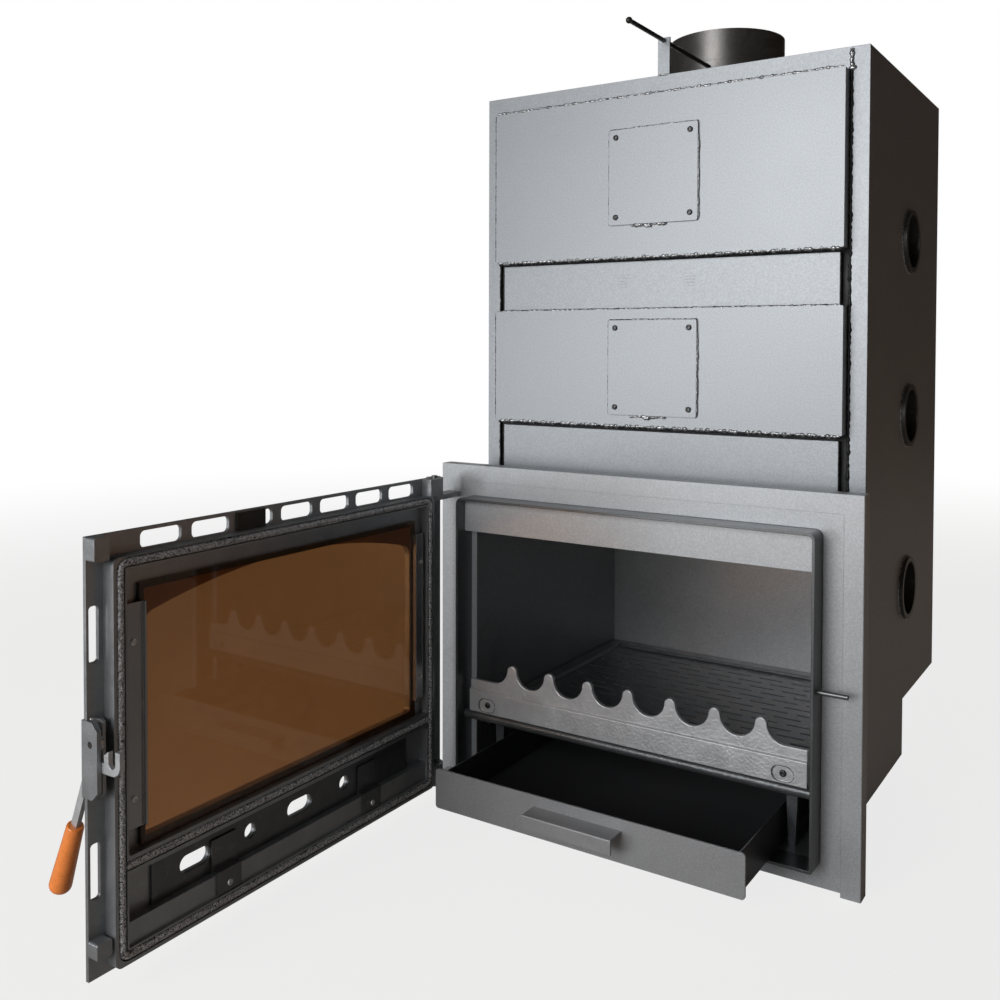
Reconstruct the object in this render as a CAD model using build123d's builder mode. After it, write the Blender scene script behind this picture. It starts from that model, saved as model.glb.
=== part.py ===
from build123d import *
import os
from math import atan2, cos, degrees, radians, sin

os.makedirs("parts", exist_ok=True)

# A wood boiler fireplace: a water-jacketed steel body behind a steel facade, with a glazed cast-iron
# door on the left, an ash drawer under the grate and a flue damper worked by a pull rod.
# The origin is on the floor under the flue's axis. The facade looks along -Y and +Z is up.
# The door stands open at 90 degrees and the ash drawer is pulled out with it.

# Body
face_y = -390.0
body_half = 325.0
body_depth = 589.0
sheet = 4.0
water_side = 36.0
water_rear = 73.0
water_roof = 31.0
setback = 103.0
post_width = 24.0
side_edge_z = 82.0
rear_edge_z = 174.0
rear_edge_start = 354.0

# Heights of the front, stacked up from the facade
facade_top = 551.7
step_drop = 15.7
pocket_lift = 3.0
pocket_height = 75.0
pocket_depth = 243.0
low_groove = 9.0
low_panel_height = 187.0
mid_groove = 2.0
high_groove = 6.0
high_panel_height = 255.0
top_strip = 32.0
weld_line = 1.0

# Front panels and their cleaning hatches
panel_depth = 21.0
panel_groove = 4.5
recess_depth = 7.0
recess_inset = 9.0
hatch_size = 152.0
hatch_opening = 118.0
hatch_thickness = 3.0
hatch_gasket_thickness = 1.5
hatch_screw_inset = 12.5
screw_radius = 2.5
screw_head_radius = 4.5
screw_head_height = 3.0

# Facade
trim_overhang = 25.4
trim_width = 27.4
trim_foot = 6.3
trim_leg = 25.0
facade_thickness = 3.0
collar_reach = 37.5
collar_wall = 4.0
collar_ledge = 10.0
collar_corner = 10.0
collar_foot_corner = 3.0
seat_gap = 0.3
lintel_drop = 52.0
lintel_setin = 18.0
lintel_thickness = 2.0
lintel_fold = 20.0

# Base and ash space
sill_z = 43.0
rail_leg = 40.0
rail_inset = 60.0
cross_bar = 60.0

# Flue and damper
collar_radius = 102.6
spigot_radius = 101.9
spigot_length = 52.0
flue_wall = 2.0
flue_height = 117.0
rod_radius = 3.5
rod_height = 54.0
rod_x = 7.0
rod_front = -20.0
rod_tip_radius = 5.0
running = 0.05
flap_radius = 94.0
flap_thickness = 2.5
flap_arm = 44.0
flap_shaft_radius = 4.0
flap_lug = 14.0
flap_lug_width = 8.0
bracket_width = 20.0
bracket_thickness = 4.0

# Water sockets on both sides
socket_radius = 50.5
socket_bore = 42.465
socket_length = 36.0
socket_reach = 7.0
socket_depth = 364.0
socket_first_z = 356.0
socket_pitch = 283.0

# Grate, ledge and log retainer
grate_top = 142.0
grate_thickness = 14.0
grate_rim = 22.0
grate_dish = 5.0
grate_side_gap = 2.0
slot_length = 45.0
slot_width = 6.0
slot_rows = 8
slot_columns = 8
slot_margin_x = 39.0
slot_margin_y = 26.5
rail_width = 24.0
rail_thickness = 4.0
ledge_top = 146.0
ledge_thickness = 15.0
ledge_front = -20.0
ledge_back = 36.0
ledge_leg_inset = 33.0
ledge_leg_top = 18.0
ledge_leg_foot = 10.0
ledge_leg_depth = 12.0
retainer_front = -17.0
retainer_thickness = 9.0
retainer_step = 3.0
retainer_band = 37.0
retainer_floor = 198.0
retainer_flat = 38.8
retainer_shift = 7.0
tooth_count = 7
tooth_tip_radius = 8.6
retainer_screw_inset = 34.0
retainer_screw_z = 159.0
recess_oval_length = 32.0
recess_oval_width = 22.0

# Smoke baffle
baffle_z = 700.0
baffle_thickness = 8.0
baffle_front = 250.0
baffle_rail = 20.0

# Hinge and striker
hinge_reach = 56.0
hinge_inset = 25.4
hinge_pin_radius = 5.0
tongue_thickness = 8.0
tongue_half = 12.0
ear_height = 28.0
ear_gap = 0.5
ear_radius = 14.0
pin_cap = 3.0
striker_radius = 3.5
striker_z = 283.0
striker_y = -20.0
striker_reach = 42.0

# Door, drawn in its closed place: x along the front, z up, w outwards from the rope's crown
rope_gap = 0.5
door_overlap_left = 19.0
door_inset_right = 24.1
door_bottom = 24.2
door_top = 534.5
door_thickness = 25.5
skin_thickness = 5.0
lip_depth = 2.0
rope_radius = 5.5
rope_clearance = 0.3
rope_corner = 9.0
rope_inner_lip = 2.5
rope_outer_lip = 4.5
middle_rope_z = 147.0
middle_lip = 5.0
glass_inset = 23.0
glass_bottom = 160.0
glass_top = 472.0
glass_thickness = 4.0
glass_front = 10.0
gasket_thickness = 2.0
gasket_width = 8.0
slot_shift = -9.0
window_inset = 9.0
window_bottom = 168.0
window_side_top = 432.0
window_apex = 466.0
window_corner = 18.0
window_foot_corner = 6.0
top_slot_gap = 16.0
top_slot_margin = 34.0
top_slot_height = 20.5
top_slot_count = 7
top_slot_z = 520.2
side_slot_length = 65.0
side_slot_width = 13.0
side_slot_z = (149.0, 422.0)
side_slot_inset = 9.8
corner_lug_width = 20.0
corner_lug_depth = 16.0
strip_inner_inset = 28.0
strip_outer_inset = 4.0
strip_lip = 4.0
strip_bottom = 185.0
strip_top = 451.0
strip_thickness = 2.5
strip_screw_z = (220.0, 405.0)
strip_boss_radius = 7.0
small_head_radius = 4.0
small_head_height = 2.0
small_screw_radius = 2.0

# Air slide in the foot of the door
air_z = 106.0
air_margin = 100.0
air_oval_length = 48.0
air_oval_height = 22.0
air_round_radius = 10.0
air_travel = 40.0
slide_tail = 54.0
slide_head = 66.0
slide_height = 50.0
slide_thickness = 3.0
air_floor = 20.0
air_shelf = 6.0
shelf_top = 78.0
stud_radius = 4.0
knob_radius = 12.0
knob_length = 16.0
clip_width = 40.0
clip_inset = 4.0
clip_thickness = 3.0
clip_foot_z = 52.0
clip_top_z = 120.0
clip_screw_z = 62.0
slot_cover_length = 50.0
slot_cover_height = 24.0
slot_cover_thickness = 3.0

# Latch
lever_inset = 10.3
lever_thickness = 6.0
lever_side_gap = 0.2
pivot_w = 13.0
pivot_z = 300.0
pivot_radius = 4.0
hub_radius = 10.0
stem_angle = 21.0
stem_width = 10.0
stem_length = 150.0
hook_w = -18.0
hook_z = 283.0
hook_bore = 6.0
hook_wall = 8.0
far_horn = 14.5
near_horn = 8.0
neck_height = 12.0
clevis_bottom = 237.0
clevis_top = 326.0
clevis_chamfer = 10.0
clevis_outer_wall = 5.8
clevis_inner_wall = 4.5
clevis_inner_start = 7.0
clevis_outside = 2.5
grip_start = 112.0
grip_length = 92.0
grip_radius = 13.5
grip_neck_radius = 10.0
grip_crown = 9.0

# Ash drawer
drawer_out = 166.0
drawer_home = 8.0
drawer_front_inset = 35.0
drawer_front_top = 103.7
drawer_front_thickness = 3.0
drawer_inset = 46.0
drawer_wall_top = 98.0
drawer_wall = 2.0
drawer_length = 400.0
handle_half = 70.0
handle_top = 88.0
handle_depth = 33.0
handle_lip = 21.0
handle_thickness = 2.5

# Places that follow from the sizes above
chamber_half = body_half - 2 * sheet - water_side
chamber_back = body_depth - 2 * sheet - water_rear
step_z = facade_top - step_drop
roof_z = step_z - sheet - water_roof
low_pocket_z = step_z + pocket_lift
low_panel_z = low_pocket_z + pocket_height + low_groove
high_pocket_z = low_panel_z + low_panel_height + mid_groove
high_panel_z = high_pocket_z + pocket_height + high_groove
panel_top_z = high_panel_z + high_panel_height
body_top = panel_top_z + top_strip
chamber_top = body_top - water_side - 2 * sheet
collar_half = chamber_half + collar_ledge + collar_wall
collar_bottom = sill_z - collar_wall
facade_half = body_half + trim_overhang
plate_half = facade_half - trim_width
panel_half = body_half - post_width - panel_groove
recess_half = panel_half - recess_inset
front_sheet = setback + sheet
flue_top = body_top + flue_height
hinge_x = hinge_inset - facade_half
hinge_y = face_y - hinge_reach
rope_x = hinge_x + hinge_reach - collar_reach - rope_gap
door_left = hinge_x - door_overlap_left
skin_w = door_thickness - skin_thickness
rope_half = collar_half - collar_wall / 2 + rope_clearance
rope_top = roof_z
rope_bottom = collar_bottom + collar_wall / 2 + 1
channel_half = rope_radius + rope_clearance
pocket_half = rope_half - channel_half - rope_inner_lip
frame_half = rope_half + channel_half + rope_outer_lip
frame_bottom = rope_bottom - channel_half - rope_outer_lip
frame_top = rope_top + channel_half + 1
glass_seat = glass_front + glass_thickness + gasket_thickness
upper_pocket_bottom = middle_rope_z + channel_half + middle_lip
upper_pocket_top = rope_top - channel_half - rope_inner_lip
lower_pocket_bottom = rope_bottom + channel_half + rope_inner_lip
lower_pocket_top = middle_rope_z - channel_half - middle_lip
door_right = facade_half - door_inset_right
lever_x = door_right - lever_inset
glass_half = pocket_half - glass_inset
window_half = glass_half - window_inset
strip_inner = pocket_half - strip_inner_inset
strip_outer = pocket_half - strip_outer_inset
air_pitch = (pocket_half - air_margin) / 2
clip_spacing = pocket_half - clip_inset
top_slot_pitch = 2 * (frame_half - top_slot_margin) / top_slot_count
top_slot_length = top_slot_pitch - top_slot_gap
tooth_pitch = 2 * (chamber_half - retainer_flat) / tooth_count
valley_radius = tooth_pitch / 2 - tooth_tip_radius
retainer_screw_x = chamber_half - retainer_screw_inset
ledge_leg_x = chamber_half - ledge_leg_inset
drawer_front_half = chamber_half - drawer_front_inset
drawer_half = chamber_half - drawer_inset
drawer_y = face_y + drawer_home - drawer_out
drawer_floor = sill_z + seat_gap


def front_plane(depth):
    """A plane across the front, this far behind the facade; its normal points at the viewer."""
    return Plane(origin=(0, face_y + depth, 0), x_dir=(1, 0, 0), z_dir=(0, -1, 0))


def side_plane(x):
    """A plane seen from the right side: its x runs back, its y runs up."""
    return Plane(origin=(x, face_y, 0), x_dir=(0, 1, 0), z_dir=(1, 0, 0))


def door_plane(w):
    """A plane in the open door, w behind the rope's crown: x and z as on the closed door."""
    return Plane(origin=(rope_x - w, hinge_y + hinge_x, 0), x_dir=(0, -1, 0), z_dir=(-1, 0, 0))


def door_edge_plane(x):
    """A plane across the open door at the closed door's x: its x is w, its y runs up."""
    return Plane(origin=(rope_x, hinge_y + hinge_x - x, 0), x_dir=(-1, 0, 0), z_dir=(0, 1, 0))


def patch(x0, x1, y0, y1, radius=0.0, mode=Mode.ADD):
    """A rectangle between two corners of the sketch, with round corners if a radius is given."""
    with Locations(((x0 + x1) / 2, (y0 + y1) / 2)):
        if radius > 0:
            RectangleRounded(x1 - x0, y1 - y0, radius, mode=mode)
        else:
            Rectangle(x1 - x0, y1 - y0, mode=mode)


def mouth(half, bottom, top, corner, foot, mode=Mode.ADD):
    """The outline of the door mouth: wider corners at the top than at the foot."""
    patch(-half, half, bottom, top, radius=corner, mode=mode)
    patch(-half, half, bottom, bottom + 2 * corner, radius=foot, mode=mode)


def finish(part, name):
    """Label one finished piece and write it."""
    part.part.label = name
    export_step(part.part, f"parts/{name}.step")


# Water jacket: two folded side sheets, whose front flanges are the posts beside the panels
socket_heights = [socket_first_z + i * socket_pitch for i in range(3)]
for side, name in ((-1, "jacket_side_left"), (1, "jacket_side_right")):
    with BuildPart() as jacket_side:
        with BuildSketch(side_plane(side * body_half)):
            with BuildLine():
                Polyline(
                    (facade_thickness, side_edge_z),
                    (rear_edge_start, side_edge_z),
                    (rear_edge_start, rear_edge_z),
                    (body_depth, rear_edge_z),
                    (body_depth, body_top),
                    (setback, body_top),
                    (setback, step_z),
                    (facade_thickness, step_z),
                    close=True,
                )
            make_face()
            with Locations([(socket_depth, z) for z in socket_heights]):
                Circle(socket_radius + seat_gap, mode=Mode.SUBTRACT)
        extrude(amount=-side * sheet)
        with BuildSketch(front_plane(setback)):
            patch(min(side * body_half, side * (body_half - post_width)),
                  max(side * body_half, side * (body_half - post_width)), step_z, body_top)
        extrude(amount=-sheet)
    finish(jacket_side, name)

with BuildPart() as jacket_back:
    with BuildSketch(front_plane(body_depth)):
        patch(sheet - body_half, body_half - sheet, rear_edge_z, body_top)
    extrude(amount=sheet)
finish(jacket_back, "jacket_back")

with BuildPart() as jacket_top:
    with BuildSketch(Plane.XY.offset(body_top)):
        patch(sheet - body_half, body_half - sheet, face_y + front_sheet, face_y + body_depth - sheet)
        Circle(collar_radius + seat_gap, mode=Mode.SUBTRACT)
    extrude(amount=-sheet)
    with BuildSketch(front_plane(setback)):
        patch(post_width - body_half, body_half - post_width, panel_top_z + weld_line, body_top)
    extrude(amount=-sheet)
finish(jacket_top, "jacket_top")

# The sheet behind the panels, with the openings that the hatches and the water pockets need
with BuildPart() as jacket_front_upper:
    with BuildSketch(front_plane(front_sheet)):
        patch(sheet - body_half, body_half - sheet, roof_z, body_top - sheet)
        patch(-chamber_half, chamber_half, high_panel_z + sheet, chamber_top - sheet, mode=Mode.SUBTRACT)
        patch(-chamber_half, chamber_half, low_panel_z + sheet, low_panel_z + low_panel_height - sheet,
              mode=Mode.SUBTRACT)
        for pocket_z in (low_pocket_z, high_pocket_z):
            patch(sheet - chamber_half, chamber_half - sheet, pocket_z + sheet,
                  pocket_z + pocket_height - sheet, mode=Mode.SUBTRACT)
    extrude(amount=-sheet)
finish(jacket_front_upper, "jacket_front_upper")

with BuildPart() as jacket_front_lower:
    with BuildSketch(front_plane(facade_thickness)):
        patch(sheet - body_half, body_half - sheet, side_edge_z, step_z - sheet)
        patch(-chamber_half, chamber_half, side_edge_z - 1, roof_z - sheet, mode=Mode.SUBTRACT)
    extrude(amount=-sheet)
finish(jacket_front_lower, "jacket_front_lower")

with BuildPart() as step_cover:
    with BuildSketch(Plane.XY.offset(step_z)):
        patch(sheet - body_half, body_half - sheet, face_y + facade_thickness, face_y + setback)
    extrude(amount=-sheet)
finish(step_cover, "step_cover")

# The foot of the water space steps up behind the ash door's sides
with BuildPart() as jacket_bottom:
    for side in (-1, 1):
        inner = side * (chamber_half + sheet)
        outer = side * (body_half - sheet)
        with BuildSketch(side_plane(inner)):
            with BuildLine():
                Polyline(
                    (facade_thickness + sheet, side_edge_z),
                    (rear_edge_start, side_edge_z),
                    (rear_edge_start, rear_edge_z),
                    (chamber_back + sheet, rear_edge_z),
                    (chamber_back + sheet, rear_edge_z + sheet),
                    (rear_edge_start - sheet, rear_edge_z + sheet),
                    (rear_edge_start - sheet, side_edge_z + sheet),
                    (facade_thickness + sheet, side_edge_z + sheet),
                    close=True,
                )
            make_face()
        extrude(amount=outer - inner)
    with BuildSketch(Plane.XY.offset(rear_edge_z)):
        patch(sheet - body_half, body_half - sheet,
              face_y + chamber_back + sheet, face_y + body_depth - sheet)
    extrude(amount=sheet)
finish(jacket_bottom, "jacket_bottom")

# Firebox and smoke chamber: the inner shell that the water surrounds
with BuildPart() as firebox_shell:
    for side in (-1, 1):
        with BuildSketch(side_plane(side * chamber_half)):
            with BuildLine():
                Polyline(
                    (facade_thickness + sheet, collar_bottom),
                    (chamber_back, collar_bottom),
                    (chamber_back, chamber_top),
                    (front_sheet + sheet, chamber_top),
                    (front_sheet + sheet, roof_z),
                    (facade_thickness + sheet, roof_z),
                    close=True,
                )
            make_face()
            for pocket_z in (low_pocket_z, high_pocket_z):
                patch(front_sheet + sheet + sheet, front_sheet + sheet + pocket_depth - sheet,
                      pocket_z + sheet, pocket_z + pocket_height - sheet, mode=Mode.SUBTRACT)
        extrude(amount=side * sheet)
    with BuildSketch(front_plane(chamber_back)):
        patch(-chamber_half - sheet, chamber_half + sheet, collar_bottom, chamber_top)
    extrude(amount=-sheet)
    with BuildSketch(Plane.XY.offset(roof_z)):
        patch(-chamber_half, chamber_half, face_y + facade_thickness + sheet, face_y + front_sheet)
    extrude(amount=-sheet)
    with BuildSketch(Plane.XY.offset(chamber_top)):
        patch(-chamber_half, chamber_half, face_y + front_sheet + sheet, face_y + chamber_back)
        Circle(collar_radius + seat_gap, mode=Mode.SUBTRACT)
    extrude(amount=-sheet)
finish(firebox_shell, "firebox_shell")

# Cross water pockets: flat ducts from one side of the jacket to the other, under the smoke
for pocket_z, level in ((low_pocket_z, "lower"), (high_pocket_z, "upper")):
    with BuildPart() as water_pocket:
        with BuildSketch(side_plane(-chamber_half)):
            patch(front_sheet + sheet, front_sheet + sheet + pocket_depth, pocket_z, pocket_z + pocket_height)
            patch(front_sheet, front_sheet + pocket_depth, pocket_z + sheet,
                  pocket_z + pocket_height - sheet, mode=Mode.SUBTRACT)
        extrude(amount=2 * chamber_half)
    finish(water_pocket, f"water_pocket_{level}")
    with BuildPart() as pocket_face:
        with BuildSketch(front_plane(setback - recess_depth)):
            patch(-recess_half, recess_half, pocket_z, pocket_z + pocket_height)
        extrude(amount=-(recess_depth + sheet))
        with BuildSketch(front_plane(setback - recess_depth + sheet)):
            patch(sheet - recess_half, recess_half - sheet, pocket_z + sheet, pocket_z + pocket_height - sheet)
        extrude(amount=-recess_depth, mode=Mode.SUBTRACT)
    finish(pocket_face, f"pocket_face_{level}")

# Raised front panels with a screwed cleaning hatch in the middle of each
panels = (
    (low_panel_z, low_panel_height, "lower"),
    (high_panel_z, high_panel_height, "upper"),
)
hatch_corner = hatch_size / 2 - hatch_screw_inset
hatch_front = setback - panel_depth
for panel_z, panel_height, level in panels:
    middle_z = panel_z + panel_height / 2
    with BuildPart() as front_panel:
        with BuildSketch(front_plane(hatch_front)):
            patch(-panel_half, panel_half, panel_z, panel_z + panel_height)
        extrude(amount=-(panel_depth + sheet))
        with BuildSketch(front_plane(hatch_front + sheet)):
            patch(sheet - panel_half, panel_half - sheet, panel_z + sheet, panel_z + panel_height - sheet)
        extrude(amount=-panel_depth, mode=Mode.SUBTRACT)
        with BuildSketch(front_plane(hatch_front)):
            with Locations((0, middle_z)):
                Rectangle(hatch_opening, hatch_opening)
                with GridLocations(2 * hatch_corner, 2 * hatch_corner, 2, 2):
                    Circle(screw_radius)
        extrude(amount=-sheet, mode=Mode.SUBTRACT)
        fillet(front_panel.edges().filter_by(Axis.Y).group_by(SortBy.LENGTH)[-1], sheet / 2)
    finish(front_panel, f"front_panel_{level}")
    with BuildPart() as hatch_cover:
        with BuildSketch(front_plane(hatch_front - hatch_gasket_thickness)):
            with Locations((0, middle_z)):
                RectangleRounded(hatch_size, hatch_size, hatch_thickness)
                with GridLocations(2 * hatch_corner, 2 * hatch_corner, 2, 2):
                    Circle(screw_radius, mode=Mode.SUBTRACT)
        extrude(amount=hatch_thickness)
    finish(hatch_cover, f"hatch_cover_{level}")

with BuildPart() as hatch_gaskets:
    with BuildSketch(front_plane(hatch_front)):
        for panel_z, panel_height, level in panels:
            with Locations((0, panel_z + panel_height / 2)):
                Rectangle(hatch_size - 2 * hatch_thickness, hatch_size - 2 * hatch_thickness)
                Rectangle(hatch_opening, hatch_opening, mode=Mode.SUBTRACT)
                with GridLocations(2 * hatch_corner, 2 * hatch_corner, 2, 2):
                    Circle(screw_radius, mode=Mode.SUBTRACT)
    extrude(amount=hatch_gasket_thickness)
finish(hatch_gaskets, "hatch_gaskets")

hatch_plate_front = hatch_front - hatch_gasket_thickness - hatch_thickness
with BuildPart() as hatch_screws:
    for panel_z, panel_height, level in panels:
        with BuildSketch(front_plane(hatch_plate_front)):
            with Locations((0, panel_z + panel_height / 2)):
                with GridLocations(2 * hatch_corner, 2 * hatch_corner, 2, 2):
                    Circle(screw_head_radius)
        extrude(amount=screw_head_height)
        with BuildSketch(front_plane(hatch_plate_front)):
            with Locations((0, panel_z + panel_height / 2)):
                with GridLocations(2 * hatch_corner, 2 * hatch_corner, 2, 2):
                    Circle(screw_radius)
        extrude(amount=-(hatch_front + 2 * sheet - hatch_plate_front))
    fillet(hatch_screws.faces().sort_by(Axis.Y)[0:8].edges(), screw_head_height / 3)
finish(hatch_screws, "hatch_screws")

# Smoke baffle lying on two angles in the smoke chamber
with BuildPart() as baffle_rails:
    for side in (-1, 1):
        with BuildSketch(front_plane(chamber_back)):
            wall_x = side * chamber_half
            inner_x = wall_x - side * baffle_rail
            web_x = wall_x - side * sheet
            patch(min(wall_x, inner_x), max(wall_x, inner_x), baffle_z - sheet, baffle_z)
            patch(min(wall_x, web_x), max(wall_x, web_x), baffle_z - baffle_rail, baffle_z)
        extrude(amount=chamber_back - baffle_front)
finish(baffle_rails, "baffle_rails")

with BuildPart() as smoke_baffle:
    with BuildSketch(Plane.XY.offset(baffle_z)):
        patch(grate_side_gap - chamber_half, chamber_half - grate_side_gap,
              face_y + baffle_front, face_y + chamber_back - grate_side_gap)
    extrude(amount=baffle_thickness)
finish(smoke_baffle, "smoke_baffle")

# Ash floor and base frame
with BuildPart() as ash_floor:
    with BuildSketch(Plane.XY.offset(sill_z)):
        patch(-chamber_half, chamber_half, face_y + facade_thickness, face_y + chamber_back)
    extrude(amount=-sheet)
finish(ash_floor, "ash_floor")

rail_outer = body_half - rail_inset
base_start = trim_leg
base_end = body_depth - trim_leg
with BuildPart() as base_frame:
    for side in (-1, 1):
        with BuildSketch(front_plane(base_start)):
            with BuildLine():
                Polyline(
                    (side * rail_outer, 0),
                    (side * rail_outer, collar_bottom),
                    (side * (rail_outer - rail_leg), collar_bottom),
                    (side * (rail_outer - rail_leg), collar_bottom - sheet),
                    (side * (rail_outer - sheet), collar_bottom - sheet),
                    (side * (rail_outer - sheet), sheet),
                    (side * (rail_outer - rail_leg), sheet),
                    (side * (rail_outer - rail_leg), 0),
                    close=True,
                )
            make_face()
        extrude(amount=-(base_end - base_start))
    with BuildSketch(Plane.XY):
        for bar_y in (face_y + base_start + cross_bar / 2, 0, face_y + base_end - cross_bar / 2):
            patch(rail_leg - rail_outer, rail_outer - rail_leg, bar_y - cross_bar / 2, bar_y + cross_bar / 2)
    extrude(amount=sheet)
finish(base_frame, "base_frame")

# Flue collar: rolled tube, sized at its upper end for the flue pipe
shaft_z = body_top + rod_height - flap_arm
rod_z = body_top + rod_height
with BuildPart() as flue_collar:
    with BuildSketch(Plane.XY.offset(chamber_top - sheet)):
        Circle(collar_radius)
    extrude(amount=flue_top - spigot_length - chamber_top + sheet)
    with BuildSketch(Plane.XY.offset(flue_top - spigot_length)):
        Circle(spigot_radius)
    extrude(amount=spigot_length)
    with BuildSketch(Plane.XY.offset(chamber_top - sheet)):
        Circle(spigot_radius - flue_wall)
    extrude(amount=flue_top - chamber_top + sheet, mode=Mode.SUBTRACT)
    with BuildSketch(side_plane(-body_half)):
        with Locations((-face_y, shaft_z)):
            Circle(flap_shaft_radius + running)
    extrude(amount=2 * body_half, mode=Mode.SUBTRACT)
    with BuildSketch(front_plane(0)):
        with Locations((rod_x, rod_z)):
            Circle(rod_radius + running)
    extrude(amount=face_y, mode=Mode.SUBTRACT)
finish(flue_collar, "flue_collar")

# Damper flap on its cross shaft, with the lug that the rod pushes
with BuildPart() as damper_flap:
    with BuildSketch(front_plane(-face_y + flap_thickness / 2)):
        with Locations((0, shaft_z)):
            Circle(flap_radius)
    extrude(amount=flap_thickness)
    with BuildSketch(side_plane(-collar_radius - 2)):
        with Locations((-face_y, shaft_z)):
            Circle(flap_shaft_radius)
    extrude(amount=2 * (collar_radius + 2))
    with BuildSketch(side_plane(rod_x - flap_lug_width / 2)):
        patch(-face_y - flap_lug, -face_y, rod_z - flap_lug_width, rod_z + flap_lug_width)
    extrude(amount=flap_lug_width)
finish(damper_flap, "damper_flap")

rod_back = -face_y - flap_lug - 2 * seat_gap
with BuildPart() as damper_rod:
    with BuildSketch(front_plane(rod_front)):
        with Locations((rod_x, rod_z)):
            Circle(rod_radius)
    extrude(amount=-(rod_back - rod_front))
    with Locations((rod_x, face_y + rod_front, rod_z)):
        Sphere(rod_tip_radius)
finish(damper_rod, "damper_rod")

with BuildPart() as damper_bracket:
    with BuildSketch(front_plane(setback)):
        patch(rod_x - bracket_width / 2, rod_x + bracket_width / 2, body_top, rod_z + rod_radius + 1)
        with Locations((rod_x, rod_z)):
            Circle(rod_radius + running, mode=Mode.SUBTRACT)
    extrude(amount=-bracket_thickness)
finish(damper_bracket, "damper_bracket")

# Water sockets: internally threaded stubs welded into the jacket's sides
for side, name in ((-1, "side_sockets_left"), (1, "side_sockets_right")):
    with BuildPart() as side_sockets:
        with BuildSketch(side_plane(side * (body_half + socket_reach))):
            with Locations([(socket_depth, z) for z in socket_heights]):
                Circle(socket_radius)
                Circle(socket_bore, mode=Mode.SUBTRACT)
        extrude(amount=-side * socket_length)
    finish(side_sockets, name)

# Facade: folded outer trim, flat inner plate and the collar that the door closes on
with BuildPart() as facade_trim:
    with BuildSketch(front_plane(0)):
        patch(-facade_half, facade_half, 0, facade_top)
    extrude(amount=-trim_leg)
    with BuildSketch(front_plane(facade_thickness)):
        patch(facade_thickness - facade_half, facade_half - facade_thickness,
              -1, facade_top - facade_thickness)
    extrude(amount=-trim_leg, mode=Mode.SUBTRACT)
    with BuildSketch(front_plane(0)):
        patch(-plate_half, plate_half, -1, facade_top - trim_width)
    extrude(amount=-facade_thickness, mode=Mode.SUBTRACT)
    outer_edges = facade_trim.faces().sort_by(Axis.Y)[0].edges()
    fillet(outer_edges.filter_by(Axis.Z).group_by(SortBy.LENGTH)[-1], facade_thickness / 2)
finish(facade_trim, "facade_trim")

with BuildPart() as facade_plate:
    with BuildSketch(front_plane(0)):
        patch(-plate_half, plate_half, trim_foot, facade_top - trim_width)
        mouth(collar_half + seat_gap, collar_bottom - seat_gap, roof_z + seat_gap,
              collar_corner + seat_gap, collar_foot_corner, mode=Mode.SUBTRACT)
    extrude(amount=-facade_thickness)
finish(facade_plate, "facade_plate")

with BuildPart() as mouth_collar:
    with BuildSketch(front_plane(-collar_reach)):
        mouth(collar_half, collar_bottom, roof_z, collar_corner, collar_foot_corner)
        mouth(collar_half - collar_wall, sill_z, roof_z - collar_wall, collar_corner - collar_wall,
              seat_gap, mode=Mode.SUBTRACT)
    extrude(amount=-(collar_reach + facade_thickness))
finish(mouth_collar, "mouth_collar")

# Lintel sheet across the top of the mouth, folded back along its lower edge
lintel_top = roof_z - collar_wall - seat_gap
lintel_half = collar_half - collar_wall - seat_gap
with BuildPart() as lintel:
    with BuildSketch(front_plane(-lintel_setin)):
        patch(-lintel_half, lintel_half, lintel_top - lintel_drop, lintel_top)
    extrude(amount=-lintel_thickness)
    fillet(lintel.edges().filter_by(Axis.Y).group_by(Axis.Z)[-1], collar_corner - collar_wall)
    with BuildSketch(Plane.XY.offset(lintel_top - lintel_drop)):
        patch(-lintel_half, lintel_half, face_y - lintel_setin, face_y - lintel_setin + lintel_fold)
    extrude(amount=lintel_thickness)
finish(lintel, "lintel")

# Cast grate bed: a dished plate with rows of slots, lying on two angles
with BuildPart() as grate_rails:
    for side in (-1, 1):
        wall_x = side * chamber_half
        inner_x = wall_x - side * rail_width
        web_x = wall_x - side * rail_thickness
        rail_top = grate_top - grate_thickness
        with BuildSketch(front_plane(ledge_back + 1)):
            patch(min(wall_x, inner_x), max(wall_x, inner_x), rail_top - rail_thickness, rail_top)
            patch(min(wall_x, web_x), max(wall_x, web_x), rail_top - rail_width, rail_top)
        extrude(amount=-(chamber_back - ledge_back - 1))
finish(grate_rails, "grate_rails")

grate_half = chamber_half - grate_side_gap
grate_y0 = face_y + ledge_back + 1
grate_y1 = face_y + chamber_back - grate_side_gap
slot_pitch_x = 2 * (grate_half - slot_margin_x) / slot_columns
slot_pitch_y = (grate_y1 - grate_y0 - 2 * slot_margin_y) / (2 * slot_rows)
with BuildPart() as grate_bed:
    with BuildSketch(Plane.XY.offset(grate_top)):
        patch(-grate_half, grate_half, grate_y0, grate_y1)
    extrude(amount=-grate_thickness)
    with BuildSketch(Plane.XY.offset(grate_top)):
        patch(grate_rim - grate_half, grate_half - grate_rim, grate_y0 + grate_rim, grate_y1 - grate_rim)
    extrude(amount=-grate_dish, mode=Mode.SUBTRACT, taper=30)
    with BuildSketch(Plane.XY.offset(grate_top)):
        for side in (-1, 1):
            with Locations((side * slot_pitch_x / 4, (grate_y0 + grate_y1 + side * slot_pitch_y) / 2)):
                with GridLocations(slot_pitch_x, 2 * slot_pitch_y, slot_columns, slot_rows):
                    SlotOverall(slot_length, slot_width)
    extrude(amount=-grate_thickness, mode=Mode.SUBTRACT)
finish(grate_bed, "grate_bed")

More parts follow.
